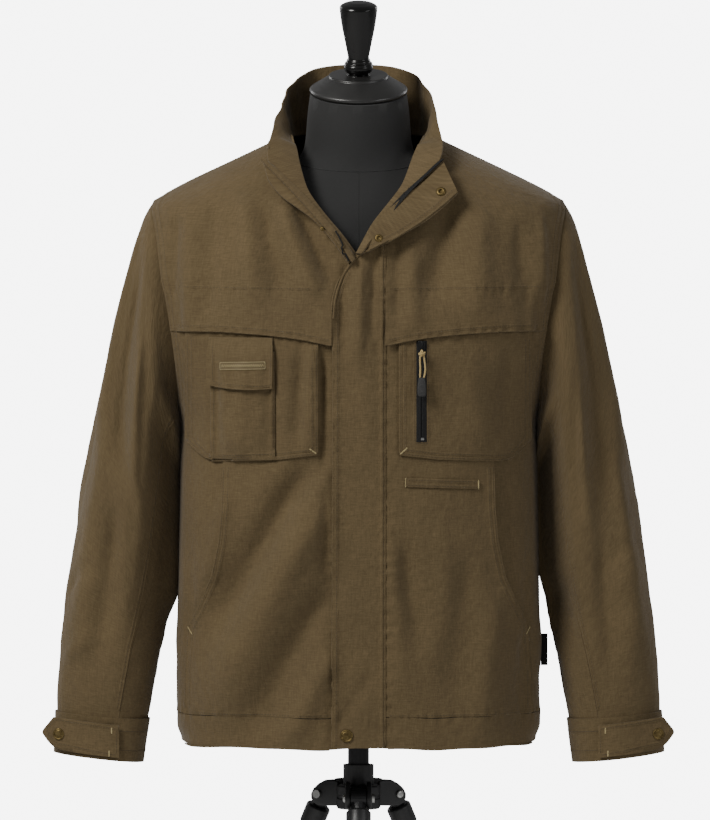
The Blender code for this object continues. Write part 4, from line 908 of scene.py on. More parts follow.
def drape_sleeve(points, side):
    down, turn, radial, reach = sleeve_place(points)
    lengths = down * SLEEVE_LENGTH
    height = folded(turn * reach, lengths, SLEEVE_FOLDS_RIGHT if side < 0 else SLEEVE_FOLDS_LEFT)
    height += creased(turn * reach + side * 0.3, lengths)
    height *= soft_step(down, 0.0, 0.10) * (1 - soft_step(down, 0.93, 1.0))
    height += 0.0008 * np.sin(turn * 4.0 + side) * soft_step(down, 0.99, 1.06)
    z = points[:, 2]
    lowest = 0.955 if side < 0 else 0.981
    touch = (
        soft_step(-np.cos(turn), 0.30, 0.88) * soft_step(z, lowest - 0.045, lowest)
        * (1 - soft_step(z, 1.160, 1.195))
    )
    moved = points + radial * (height * (1 - 0.8 * touch))[:, None]
    inner_x = np.interp(down, SLEEVE_ROWS[:, 0], SLEEVE_ROWS[:, 3])
    body_x = np.interp(z, (0.810, 0.950, 1.060, 1.150, 1.215), (0.2145, 0.2125, 0.2110, 0.2105, 0.2140))
    moved[:, 0] -= side * touch * (inner_x - body_x + 0.0034)
    outer_x = np.interp(down, SLEEVE_ROWS[:, 0], SLEEVE_ROWS[:, 1])
    share = (np.abs(points[:, 0]) - inner_x) / (outer_x - inner_x)
    sunk = (
        (1 - soft_step(share, 0.02, 0.42 if side < 0 else 0.36)) * soft_step(down, 0.10, 0.26)
        * (1 - soft_step(down, 0.66, 0.92))
    )
    forward = np.minimum(moved[:, 1] - AXIS_Y, 0.0)
    moved[:, 1] -= forward * sunk * (0.55 if side < 0 else 1.15)
    if np.abs(points[:, 0]).max() > 0.36:  # the tab ends in a point
        tip = np.exp(-(((z - 0.7840) / 0.0055) ** 2)) * soft_step(np.abs(points[:, 0]), 0.3560, 0.3650)
        moved[:, 0] += side * 0.0022 * tip
    return moved


def sleeve_cloth(points, inner):
    down, turn, _, reach = sleeve_place(points)
    if inner:
        turn = np.where(turn > 0, turn - math.pi, turn + math.pi)
    return turn * reach, -down * SLEEVE_LENGTH


sleeve_pieces = {}
for hand, side in (("right", -1), ("left", 1)):
    for node, levels, flat, area, inner in (
        (f"sleeve_top_{hand}", 3, (0.36, 0.62), 0.141, False),
        (f"sleeve_under_{hand}", 3, (0.15, 0.42), 0.045, True),
        (f"cuff_{hand}", 3, (0.33, 0.048), None, False),
        (f"cuff_tab_{hand}", 3, (0.090, 0.038), None, False),
    ):
        piece = copy_of(node, node + "_cloth", levels)
        points = points_of(piece)
        map_cloth(piece, *sleeve_cloth(points, inner))
        draped = drape_sleeve(points, side)
        if node.startswith("sleeve"):  # its end goes into the cuff
            down, _, radial, _ = sleeve_place(points)
            end = soft_step(down, 0.975, 1.0)[:, None]
            draped += end * (radial * -0.0010 - np.array((0.0, 0.0, 0.0030)))
        move_points(piece, draped)
        dress(piece, canvas, "form_and_jacket", "canvas", node)
        sleeve_pieces[node] = piece

# ---------------------------------------------------------------- collar and open front
# A stand collar that lies open, the placket turned back beyond the zip as a lapel, the underlap on the other
# side, and the two open ends of the front zip.
LAPEL_FOOT, LAPEL_TIP = np.array((0.0053, 1.3456)), np.array((0.1164, 1.4180))
LAPEL_RISE = (LAPEL_TIP - LAPEL_FOOT) / np.linalg.norm(LAPEL_TIP - LAPEL_FOOT)


def lapel_place(x, z):
    """The share of the way along the lapel's free edge, and the height above it."""
    offset = np.stack((x, z), -1) - LAPEL_FOOT
    return (
        offset @ LAPEL_RISE / np.linalg.norm(LAPEL_TIP - LAPEL_FOOT),
        offset @ np.array((-LAPEL_RISE[1], LAPEL_RISE[0]))
    )


def lapel_line(start, end, above, count=60):
    """A line beside the lapel's free edge, from one share of its length to another."""
    shares = np.linspace(start, end, count)
    bow = 0.0070 * np.sin(shares * math.pi) ** 0.8
    flat = LAPEL_FOOT + shares[:, None] * (LAPEL_TIP - LAPEL_FOOT)
    return flat + (above - bow)[:, None] * np.array((-LAPEL_RISE[1], LAPEL_RISE[0]))


collar_pieces = {}
for node, flat, area in (
    ("collar", (0.50, 0.10), 0.031),
    ("placket_lapel", (0.15, 0.032), 0.0037),
    ("underlap", (0.13, 0.014), None),
):
    piece = copy_of(
        node, node + "_cloth", 3, 65.0, 0.6 if node == "collar" else 1.0, 1.4 if node == "collar" else 0.7
    )
    points = points_of(piece)
    x, y, z = points[:, 0], points[:, 1] - AXIS_Y, points[:, 2]
    turn = np.arctan2(x, y)
    map_cloth(piece, turn * 0.08 + x * 0.4, z - 0.45 * y)
    soft = 0.0012 * np.sin(turn * 9 + 0.6) + 0.0008 * np.sin(turn * 17 + z * 60)
    soft *= soft_step(z, 1.44, 1.50)
    points += np.stack((np.sin(turn), np.cos(turn), np.zeros(len(turn))), 1) * soft[:, None]
    if node == "placket_lapel":  # its free edge bows out and stands off the yoke
        along, above = lapel_place(x, z)
        free = (1 - soft_step(above, 0.0, 0.024)) * np.sin(np.clip(along, 0.0, 1.0) * math.pi) ** 0.8
        points += free[:, None] * np.array((LAPEL_RISE[1], 0.0, -LAPEL_RISE[0])) * 0.0070
        points[:, 1] -= 0.0040 * (1 - soft_step(above, 0.0, 0.020)) * soft_step(along, 0.0, 0.2)
        wide = soft_step(above, 0.003, 0.012) * (1 - soft_step(along, 0.12, 0.80))
        points += wide[:, None] * np.array((-LAPEL_RISE[1], 0.0, LAPEL_RISE[0])) * 0.0105
        points[:, 1] -= 0.0012 * wide
    if node == "collar":  # its foot laps over the neckline
        turns = np.linspace(-math.pi, math.pi, 73)
        lows = [z[np.abs(turn - t) < 0.06].min() if (np.abs(turn - t) < 0.06).any() else 1.48 for t in turns]
        foot = (1 - soft_step(z - np.interp(turn, turns, lows), 0.007, 0.017)) * soft_step(y, -0.085, -0.060)
        points += (
            np.stack((np.sin(turn) * 0.0012, np.cos(turn) * 0.0012, np.full(len(turn), -0.005)), 1)
            * foot[:, None]
        )
    move_points(piece, points)
    dress(piece, canvas, "form_and_jacket", "canvas", node)
    collar_pieces[node] = piece

# ---------------------------------------------------------------- pockets
# Chest patches, a pleated phone pocket with its flap on the right one, and a welt under the left one, in the
# same canvas, topstitched on to the fronts.
pocket_pieces = {}
for node, flat, area in (
    ("chest_patch_right", (0.170, 0.160), None),
    ("chest_patch_left", (0.170, 0.160), None),
    ("phone_pocket", (0.085, 0.128), None),
    ("phone_flap", (0.082, 0.062), None),
    ("welt", (0.087, 0.0105), None),
):
    pocket_pieces[node] = body_panel(node, 3)

# ---------------------------------------------------------------- ribbon, label and facing
# A woven gold ribbon on the phone pocket's flap, a plain black label in the side seam, and behind the placket
# the facing that carries the zip, so that no light shows through the seams of the front.
front_tree = shell_tree(*body_pieces.values(), *pocket_pieces.values())


def strip_on(name, tree, corners, counts, heights, thickness, direction=ONTO_FRONT):
    """A strip laid on a tree, between four corners (x, z) from lower left round to lower right. Its height
    above what it lies on follows a list across its width."""
    bpy.ops.object.select_all(action="DESELECT")
    bpy.ops.mesh.primitive_grid_add(x_subdivisions=counts[0], y_subdivisions=counts[1], size=1.0)
    piece = bpy.context.object
    piece.name = piece.data.name = name
    shares = points_of(piece)[:, :2] + 0.5
    lower_left, upper_left, upper_right, lower_right = (np.array(c) for c in corners)
    u, v = shares[:, :1], shares[:, 1:]
    flat = (lower_left * (1 - u) + lower_right * u) * (1 - v) + (upper_left * (1 - u) + upper_right * u) * v
    rise = np.interp(shares[:, 0], np.linspace(0, 1, len(heights)), heights)
    points = []
    for (x, z), h in zip(flat, rise):
        found = laid(tree, [(x, 0.0, z)], direction, h)
        points.append(found[0][0] if found else Vector((x, 0.0, z)))
    move_points(piece, np.array(points))
    layer = piece.data.uv_layers.new(name="cloth")
    for loop in piece.data.loops:
        layer.data[loop.index].uv = flat[loop.vertex_index]
    solid = piece.modifiers.new("Wall", "SOLIDIFY")
    solid.thickness = thickness
    solid.offset = -1.0
    select_only(piece)
    bpy.ops.object.modifier_apply(modifier=solid.name)
    bpy.ops.object.shade_smooth_by_angle(angle=math.radians(40.0))
    return piece


ribbon_finish = Finish("woven_ribbon", 0.62, Sheen_Weight=0.15)
ribbon_at = ribbon_finish.place(uv="cloth")
picks = ribbon_finish.wave(ribbon_at, 620.0, "X", 0.4)
ribbon_colour = ribbon_finish.ramp(picks, (0.35, (0.060, 0.042, 0.017)), (0.75, (0.175, 0.128, 0.050)))
ribbon_cloth = ribbon_finish.finish(ribbon_colour, None, ribbon_finish.bump(picks, 0.6, 0.0003))
ribbon_corners = ((-0.1610, 1.2100), (-0.1610, 1.2195), (-0.1075, 1.2205), (-0.1075, 1.2110))
ribbon = strip_on("ribbon", front_tree, ribbon_corners, (28, 6), (0.0004, 0.0008, 0.0008, 0.0004), 0.0006)
dress(ribbon, ribbon_cloth, "form_and_jacket", "ribbon", "woven_ribbon")

tape_finish = Finish("black_tape", 0.72, Specular_IOR_Level=0.25)
tape_ribs = tape_finish.wave(tape_finish.place(), 520.0, "Z", 0.3)
tape_grain = tape_finish.noise(tape_finish.place(), 600.0, 3.0)
black_tape = tape_finish.finish(
    tape_finish.ramp(tape_grain, (0.3, (0.005, 0.005, 0.005)), (0.7, (0.011, 0.011, 0.011))),
    None,
    tape_finish.bump(tape_ribs, 0.5, 0.0002),
)
label = copy_of("side_label", "label", 2)
dress(label, black_tape, "form_and_jacket", "zip_tape", "side_label")

FACING_LEVELS = np.linspace(0.7714, 1.335, 60)
FACING_ACROSS = np.linspace(-0.024, 0.050, 9)
bpy.ops.object.select_all(action="DESELECT")
bpy.ops.mesh.primitive_grid_add(x_subdivisions=8, y_subdivisions=59, size=1.0)
facing = bpy.context.object
facing.name = facing.data.name = "facing"
placket_tree = shell_tree(
    body_pieces["placket"], body_pieces["front_main_left"], body_pieces["hem_band_left"]
)
facing_grid = points_of(facing)[:, :2] + 0.5
facing_flat = np.stack(
    (
        FACING_ACROSS[0] + facing_grid[:, 0] * (FACING_ACROSS[-1] - FACING_ACROSS[0]),
        FACING_LEVELS[0] + facing_grid[:, 1] * (FACING_LEVELS[-1] - FACING_LEVELS[0]),
    ),
    1,
)
facing_rows = []
for x, z in facing_flat:
    found = laid(placket_tree, [(x, 0.0, z)], ONTO_FRONT, -0.0056)
    facing_rows.append(found[0][0] if found else Vector((x, -0.03, z)))
facing_rows = np.array(facing_rows)
move_points(facing, facing_rows)
map_cloth(facing, facing_flat[:, 0], facing_flat[:, 1])
solid = facing.modifiers.new("Wall", "SOLIDIFY")
solid.thickness = 0.0008
solid.offset = 0.0
select_only(facing)
bpy.ops.object.modifier_apply(modifier=solid.name)
dress(facing, canvas, "form_and_jacket", "canvas")

# ---------------------------------------------------------------- zips
# The chest zip is a coated black tape whose two lips meet over the coil, with a slider, a knotted gold cord
# and a moulded grip. The front zip's open ends show along the neck, with a fine coil.
tape_corners = ((0.0668, 1.1270), (0.0668, 1.2440), (0.0790, 1.2440), (0.0790, 1.1270))
lips = (0.0002, 0.0008, 0.0009, 0.0012, 0.0013, 0.0001, 0.0013, 0.0012, 0.0009, 0.0008, 0.0002)
patch_tree = shell_tree(pocket_pieces["chest_patch_left"])
chest_tape = strip_on("chest_tape", patch_tree, tape_corners, (20, 60), lips, 0.0010)
dress(chest_tape, black_tape, "form_and_jacket", "zip_tape", "chest_zip_tape")


def small_solid(name, place, size, turn=(0.0, 0.0, 0.0), round_by=0.35, taper=1.0, levels=2):
    """A small moulded or cast body: a cube with its edges beveled, narrowed to one end and subdivided."""
    bpy.ops.object.select_all(action="DESELECT")
    bpy.ops.mesh.primitive_cube_add(size=1.0)
    piece = bpy.context.object
    piece.name = piece.data.name = name
    for v in piece.data.vertices:
        narrow = taper if v.co.z < 0 else 1.0
        v.co = Vector((v.co.x * size[0] * narrow, v.co.y * size[1], v.co.z * size[2]))
    bevel = piece.modifiers.new("Edges", "BEVEL")
    bevel.width = min(size) * round_by
    bevel.segments = 2
    bpy.ops.object.modifier_apply(modifier=bevel.name)
    if levels:
        rounder(piece, levels)
    piece.rotation_euler = turn
    piece.location = place
    bpy.ops.object.transform_apply(location=True, rotation=True, scale=True)
    bpy.ops.object.shade_smooth()
    return piece


SLIDER = (0.0730, 1.2385)
slider_at = laid(shell_tree(chest_tape), [(SLIDER[0] - 0.002, 0.0, SLIDER[1])], ONTO_FRONT, 0.0)[0][0]
slider_parts = [
    small_solid(
        "slider_plate", slider_at + Vector((0.002, -0.0012, 0.0)), (0.0088, 0.0022, 0.0115), taper=0.72
    ),
    small_solid(
        "slider_bridge", slider_at + Vector((0.002, -0.0030, 0.0010)), (0.0026, 0.0024, 0.0085), taper=0.9
    ),
]
slider_finish = speckled(
    "black_slider", (0.014, 0.014, 0.014), (0.035, 0.035, 0.035), 0.32, 0.6, 600.0, 0.0001
)
dress(joined_as("slider", slider_parts), slider_finish, "form_and_jacket", "zip_metal", "zip_slider")
stop_at = laid(shell_tree(chest_tape), [(0.0732, 0.0, 1.1306)], ONTO_FRONT, 0.0002)[0][0]
end_stop = small_solid("end_stop", stop_at, (0.0056, 0.0014, 0.0030))
dress(end_stop, steel, "form_and_jacket", "zip_metal", "zip_end_stop")

cord_finish = Finish("gold_cord", 0.70, Sheen_Weight=0.2)
braid = cord_finish.wave(cord_finish.place((1.0, 1.0, 1.0), turn=(0.0, 0.8, 0.0)), 900.0, "X", 0.0)
fibres = cord_finish.noise(cord_finish.place(), 900.0, 3.0)
gold_cord = cord_finish.finish(
    cord_finish.mix(
        cord_finish.ramp(braid, (0.3, (0.36, 0.24, 0.075)), (0.6, (0.66, 0.49, 0.20))),
        cord_finish.ramp(fibres, (0.3, 0.8), (0.7, 1.1)),
        0.6,
        "MULTIPLY",
    ),
    None,
    cord_finish.bump(braid, 0.8, 0.0003),
)
pull_low, pull_high = (Vector(corner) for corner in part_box("pull_cord"))
PULL_Y = (pull_low.y + pull_high.y) / 2
PULL_X = SLIDER[0]


def smooth_path(points, steps):
    """A Catmull-Rom curve through some points."""
    p = [Vector(q) for q in points]
    p = [p[0] * 2 - p[1], *p, p[-1] * 2 - p[-2]]
    path = []
    for a, b, c, d in zip(p, p[1:], p[2:], p[3:]):
        for i in range(steps):
            t = i / steps
            path.append(
                0.5
                * (
                    2 * b + (c - a) * t + (2 * a - 5 * b + 4 * c - d) * t**2
                    + (3 * b - a - 3 * c + d) * t**3
                )
            )
    return path + [p[-2]]


strands = smooth_path(
    [
        (PULL_X - 0.0020, PULL_Y, 1.2020),
        (PULL_X - 0.0016, PULL_Y, 1.2110),
        (PULL_X - 0.0020, PULL_Y, 1.2230),
        (PULL_X - 0.0013, PULL_Y - 0.0004, 1.2300),
        (PULL_X, PULL_Y + 0.0006, 1.2332),
        (PULL_X + 0.0013, PULL_Y - 0.0004, 1.2300),
        (PULL_X + 0.0030, PULL_Y, 1.2230),
        (PULL_X + 0.0042, PULL_Y, 1.2110),
        (PULL_X + 0.0026, PULL_Y, 1.2020),
    ],
    6,
)
knot = [
    (
        PULL_X + 0.0026 * math.sin(t) * (1.0 + 0.25 * math.sin(1.5 * t)),
        PULL_Y - 0.0024 * math.cos(t),
        1.2278 + 0.0011 * math.sin(2 * t) + 0.00035 * t,
    )
    for t in np.linspace(-3.4, 6.6, 46)
]
ends = smooth_path(
    [
        (PULL_X - 0.0034, PULL_Y - 0.0012, 1.2300), (PULL_X, PULL_Y - 0.0030, 1.2290),
        (PULL_X + 0.0040, PULL_Y - 0.0012, 1.2312)
    ],
    5
)
cord_parts = [
    bead("cord_strands", strands, 0.00112, 5), bead("cord_knot", knot, 0.00095, 5),
    bead("cord_ends", ends, 0.0009, 5)
]
pull = joined_as("cord_pull", cord_parts)
bpy.ops.object.shade_smooth()
dress(pull, gold_cord, "zip_pull", "cord", "pull_cord")

grip_low, grip_high = (Vector(corner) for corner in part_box("pull_grip"))
grip = small_solid("grip", (grip_low + grip_high) / 2, (0.0108, 0.0062, 0.0226), taper=1.0, levels=3)
grip_points = points_of(grip)
share = (grip_high.z - grip_points[:, 2]) / (grip_high.z - grip_low.z)
narrow = np.interp(share, (0.0, 0.25, 0.6, 0.85, 1.0), (0.74, 0.84, 1.0, 0.97, 0.80))
ribs = 1 + 0.05 * np.sin(share * 44) * (share > 0.3) * (share < 0.85)
grip_points[:, 0] = PULL_X + (grip_points[:, 0] - PULL_X) * narrow
grip_middle = (grip_low.y + grip_high.y) / 2
grip_points[:, 1] = grip_middle + (grip_points[:, 1] - grip_middle) * narrow * ribs
move_points(grip, grip_points)
dress(grip, foot_rubber, "zip_pull", "rubber", "pull_grip")

neck_zips = []
for hand in ("right", "left"):
    piece = copy_of(f"neck_zip_{hand}", f"neck_tape_{hand}", 2)
    dress(piece, black_tape, "form_and_jacket", "zip_tape", f"neck_zip_{hand}")
    neck_zips.append(piece)
for hand, low, high in (("right", 1.30, 1.50), ("left", 1.30, 1.372)):
    neck_band = copy_of(f"neck_zip_{hand}", f"neck_band_{hand}", 2)
    bpy.ops.object.mode_set(mode="EDIT")
    bpy.ops.mesh.select_mode(type="VERT")
    bpy.ops.mesh.select_all(action="DESELECT")
    bpy.ops.object.mode_set(mode="OBJECT")
    for vertex in neck_band.data.vertices:
        vertex.select = not low < vertex.co.z < high
    bpy.ops.object.mode_set(mode="EDIT")
    bpy.ops.mesh.delete(type="VERT")
    bpy.ops.object.mode_set(mode="OBJECT")
    band_points = points_of(neck_band)
    band_normals = np.empty(3 * len(neck_band.data.vertices))
    neck_band.data.vertex_normals.foreach_get("vector", band_normals)
    band_share = 1 - soft_step(band_points[:, 2], high - 0.014, high)
    move_points(
        neck_band, band_points + band_normals.reshape(-1, 3) * (0.0004 + 0.0009 * band_share)[:, None]
    )
    map_cloth(neck_band, *body_cloth(points_of(neck_band), False))
    dress(neck_band, canvas, "form_and_jacket", "canvas")
    if hand == "right":
        neck_band_right = neck_band
neck_tree = shell_tree(body_pieces["front_yoke_right"], collar_pieces["underlap"], neck_band_right)
lip = smooth_path(
    [(-0.0275, 0.0, 1.3695), (-0.0215, 0.0, 1.3590), (-0.0165, 0.0, 1.3475), (-0.0100, 0.0, 1.3315)], 8
)
lip = np.array([tuple(at) for at, _ in laid(neck_tree, lip, ONTO_FRONT, 0.0026)])
for _ in range(4):
    lip[1:-1, 1] = np.minimum(lip[1:-1, 1], (lip[:-2, 1] + lip[2:, 1]) / 2)
lip = bead("zip_lip", [Vector(at) for at in lip], 0.0010, 4)
dress(lip, black_tape, "form_and_jacket", "zip_tape")

# The coil's teeth along the open left tape.
tape_points = points_of(neck_zips[1])
tape_tree = shell_tree(neck_zips[1])
teeth = []
for z in np.linspace(1.346, 1.424, 46):
    near = np.abs(tape_points[:, 2] - z) < 0.003
    if near.any():
        low = tape_points[near][np.argmin(tape_points[near][:, 0])]
        teeth.append((low[0] + 0.0010, 0.0, z))
teeth = laid(tape_tree, teeth, ONTO_FRONT, 0.0001)
teeth_parts = [
    small_solid(f"tooth_{i}", at, (0.0017, 0.0010, 0.0009), round_by=0.3, levels=0)
    for i, (at, _) in enumerate(teeth)
]
dress(joined_as("zip_teeth", teeth_parts), slider_finish, "form_and_jacket", "zip_metal")

# ---------------------------------------------------------------- snaps
# Antique brass ring snaps: a domed, lipped cap at the hem and on each cuff, two sockets inside the turned
# back placket and the small stud that goes into one of them on the underlap.
brass_finish = Finish("antique_brass", 0.42, 1.0)
patina = brass_finish.noise(brass_finish.place(), 260.0, 4.0, 0.65)
brass_colour = brass_finish.ramp(
    patina, (0.30, (0.060, 0.043, 0.019)), (0.52, (0.150, 0.108, 0.043)), (0.78, (0.260, 0.190, 0.084))
)
brass = brass_finish.finish(
    brass_colour, brass_finish.ramp(patina, (0.3, 0.60), (0.8, 0.34)),
    brass_finish.bump(patina, 0.4, 0.0002)
)
CAP_RINGS = (
    (0.0, 0.00185),
    (0.0022, 0.00190),
    (0.0042, 0.00185),
    (0.0050, 0.00160),
    (0.0054, 0.00135),
    (0.0059, 0.00175),
    (0.0066, 0.00190),
    (0.0072, 0.00160),
    (0.0075, 0.00110),
    (0.0075, 0.00020),
    (0.0070, -0.0006),
    (0.0, -0.0006),
)
SOCKET_RINGS = (
    (0.0, 0.00010),
    (0.0020, 0.00010),
    (0.0023, 0.00040),
    (0.0024, 0.00160),
    (0.0030, 0.00200),
    (0.0042, 0.00190),
    (0.0052, 0.00150),
    (0.0058, 0.00080),
    (0.0058, 0.00010),
    (0.0050, -0.0006),
    (0.0, -0.0006),
)
STUD_RINGS = (
    (0.0, 0.0030),
    (0.0012, 0.0029),
    (0.0019, 0.0024),
    (0.0017, 0.0016),
    (0.0018, 0.0011),
    (0.0034, 0.0008),
    (0.0038, 0.0002),
    (0.0036, -0.0004),
    (0.0, -0.0004),
)


def snap_on(name, tree, at, rings, scale, *nodes):
    """A turned snap, set flat on the faces of a tree."""
    spot, normal = laid(tree, [at], ONTO_FRONT, 0.0)[0]
    piece = turned(name, eased([(r * scale, z * scale) for r, z in rings], 2), 40, (0.0, 0.0))
    piece.rotation_euler = normal.to_track_quat("Z", "Y").to_euler()
    piece.location = spot
    bpy.ops.object.transform_apply(location=True, rotation=True, scale=True)
    return dress(piece, brass, "form_and_jacket", "brass", *nodes)


snap_on("snap_hem", front_tree, (-0.0138, 0.0, 0.7860), CAP_RINGS, 1.0, "hem_snap")
for hand, side in (("right", -1), ("left", 1)):
    tab_tree = shell_tree(sleeve_pieces[f"cuff_tab_{hand}"])
    snap_on(f"snap_cuff_{hand}", tab_tree, (side * 0.3508, 0.0, 0.7820), CAP_RINGS, 0.90, f"cuff_snap_{hand}")
lapel_tree = shell_tree(collar_pieces["placket_lapel"])
underlap_tree = shell_tree(collar_pieces["underlap"], *body_pieces.values())
for node, tree, rings, scale in (
    ("lapel_socket_high", lapel_tree, SOCKET_RINGS, 0.98),
    ("lapel_socket_low", lapel_tree, SOCKET_RINGS, 0.82),
    ("underlap_stud", underlap_tree, STUD_RINGS, 0.8),
):
    low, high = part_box(node)
    middle = ((low[0] + high[0]) / 2, 0.0, (low[2] + high[2]) / 2)
    snap_on(node + "_turned", tree, middle, rings, scale, node)

# ---------------------------------------------------------------- folded edges
# Where the canvas is turned in and pressed, at the free edges of the placket and its lapel, the yokes, the
# pockets, the flap and the hem band, it ends in a soft round roll and not in a cut edge.
def edge_line(piece, stations, along, away, reach=0.0022):
    """The middle of a piece's free edge at stations along one axis: what lies furthest in a direction."""
    points = points_of(piece)
    far = points @ np.array(away, dtype=float)
    line = []
    for station in stations:
        near = np.abs(points[:, along] - station) < reach
        if near.any():
            edge = near & (far > far[near].max() - 0.0009)
            middle = points[edge].mean(axis=0)
            middle[along] = station
            line.append(middle)
    line = np.array(line)
    for _ in range(3):
        line[1:-1] = (line[:-2] + 2 * line[1:-1] + line[2:]) / 4
    return line


def either_side(points):
    """Cloth coordinates on the front or the back, whichever the points are on."""
    fronts, backs = body_cloth(points, False), body_cloth(points, True)
    return [np.where(points[:, 1] < AXIS_Y, f, b) for f, b in zip(fronts, backs)]


def rolled(name, lines, radius):
    """Soft rolls of canvas along some lines, as one piece."""
    piece = joined_as(
        name, [bead(f"{name}_{i}", [Vector(at) for at in line], radius, 5) for i, line in enumerate(lines)]
    )
    bpy.ops.object.shade_smooth()
    map_cloth(piece, *either_side(points_of(piece)))
    return dress(piece, canvas, "form_and_jacket", "canvas")


placket_edge = edge_line(body_pieces["placket"], np.linspace(0.7725, 1.318, 190), 2, (-1, 0, 0))
rolled("edge_placket", [placket_edge], 0.0010)
rolled(
    "edge_yokes",
    [
        edge_line(body_pieces["front_yoke_right"], np.linspace(-0.2120, -0.0330, 70), 0, (0, 0, -1)),
        edge_line(body_pieces["front_yoke_left"], np.linspace(0.0330, 0.2120, 70), 0, (0, 0, -1)),
    ],
    0.0010,
)
for hand, side in (("right", -1), ("left", 1)):
    patch = pocket_pieces[f"chest_patch_{hand}"]
    lines = [
        edge_line(patch, np.linspace(1.2380, 1.1050, 90), 2, (side, 0, 0)),
        edge_line(patch, side * np.linspace(0.1780, 0.0480, 90), 0, (0, 0, -1)),
        edge_line(patch, np.linspace(1.2380, 1.1140, 80), 2, (-side, 0, 0)),
    ]
    rolled(f"edge_patch_{hand}", lines, 0.00075)
    main = shell_tree(body_pieces[f"front_main_{hand}"])
    mouth = [(side * (x - 0.0009), 0.0, z) for x, z in mouth_line if 0.905 < z < 1.094]
    rolled(f"edge_mouth_{hand}", [[tuple(at) for at, _ in laid(main, mouth, ONTO_FRONT, -0.0002)]], 0.00095)
phone_lines = [
    edge_line(pocket_pieces["phone_pocket"], np.linspace(1.1880, 1.1080, 60), 2, (way, 0, 0))
    for way in (1, -1)
]
rolled("edge_phone_pocket", phone_lines, 0.00075)
# The raised seam beside the placket, as its corners (x, z) and its heights over the front from side to side.
SEAM_CORNERS = ((0.0234, 0.7725), (0.0234, 1.3500), (0.0300, 1.3560), (0.0300, 0.7725))
SEAM_HEIGHTS = (-0.0007, 0.0008, 0.0013, 0.0015, 0.0011, -0.0009)
seam_band = strip_on("seam_band", front_tree, SEAM_CORNERS, (5, 200), SEAM_HEIGHTS, 0.0003)
band_points = points_of(seam_band)
for height, pitch in ((0.00028, 0.017), (0.00014, 0.0071)):
    band_points[:, 1] += height * np.sin(band_points[:, 2] * 2 * math.pi / pitch)
move_points(seam_band, band_points)
dress(seam_band, canvas, "form_and_jacket", "canvas")
lapel_edge = [(x, 0.0, z) for x, z in lapel_line(0.0, 0.985, 0.0007, 90)]
turned_edge = [(-0.0292, 0.0, 1.2700), (-0.0270, 0.0, 1.2920), (-0.0226, 0.0, 1.3080), (-0.0172, 0.0, 1.3200)]
turned_edge = smooth_path([*turned_edge, (-0.0100, 0.0, 1.3320), (-0.0022, 0.0, 1.3405), lapel_edge[0]], 12)
edge_tree = shell_tree(body_pieces["placket"], collar_pieces["placket_lapel"])
turned_edge = np.array(
    [tuple(at) for at, _ in laid(edge_tree, turned_edge + lapel_edge[1:], ONTO_FRONT, 0.0003)]
)
for _ in range(12):
    middle = (turned_edge[:-2, 1] + 2 * turned_edge[1:-1, 1] + turned_edge[2:, 1]) / 4
    turned_edge[1:-1, 1] = np.minimum(turned_edge[1:-1, 1] + 0.0002, middle)
rolled("edge_turned", [turned_edge], 0.00135)
rolled(
    "edge_flap", [edge_line(pocket_pieces["phone_flap"], np.linspace(-0.1665, -0.0995, 30), 0, (0, 0, -1))],
    0.00085
)
rolled(
    "edge_hem",
    [
        edge_line(body_pieces["hem_band_right"], np.linspace(-0.2030, -0.0340, 70), 0, (0, -0.6, -1)),
        edge_line(body_pieces["hem_band_left"], np.linspace(0.0340, 0.2030, 70), 0, (0, -0.6, -1)),
    ],
    0.00095,
)

# ---------------------------------------------------------------- topstitching and bartacks
# Tone on tone rows of lockstitch beside the seams and round the pockets, a stitch a little over 3 mm, their
# olive thread darkened with painted shade of the holes between stitches, and bars of dense gold thread where
# the pockets, the welt and the cuff tabs pull.
bpy.ops.object.select_all(action="DESELECT")
bpy.ops.mesh.primitive_uv_sphere_add(segments=6, ring_count=3, radius=0.5)
thread = bpy.context.object
thread.data.update()
thread_points = points_of(thread)[:, (2, 0, 1)]
thread_faces = [tuple(f.vertices) for f in thread.data.polygons]
bpy.data.objects.remove(thread)


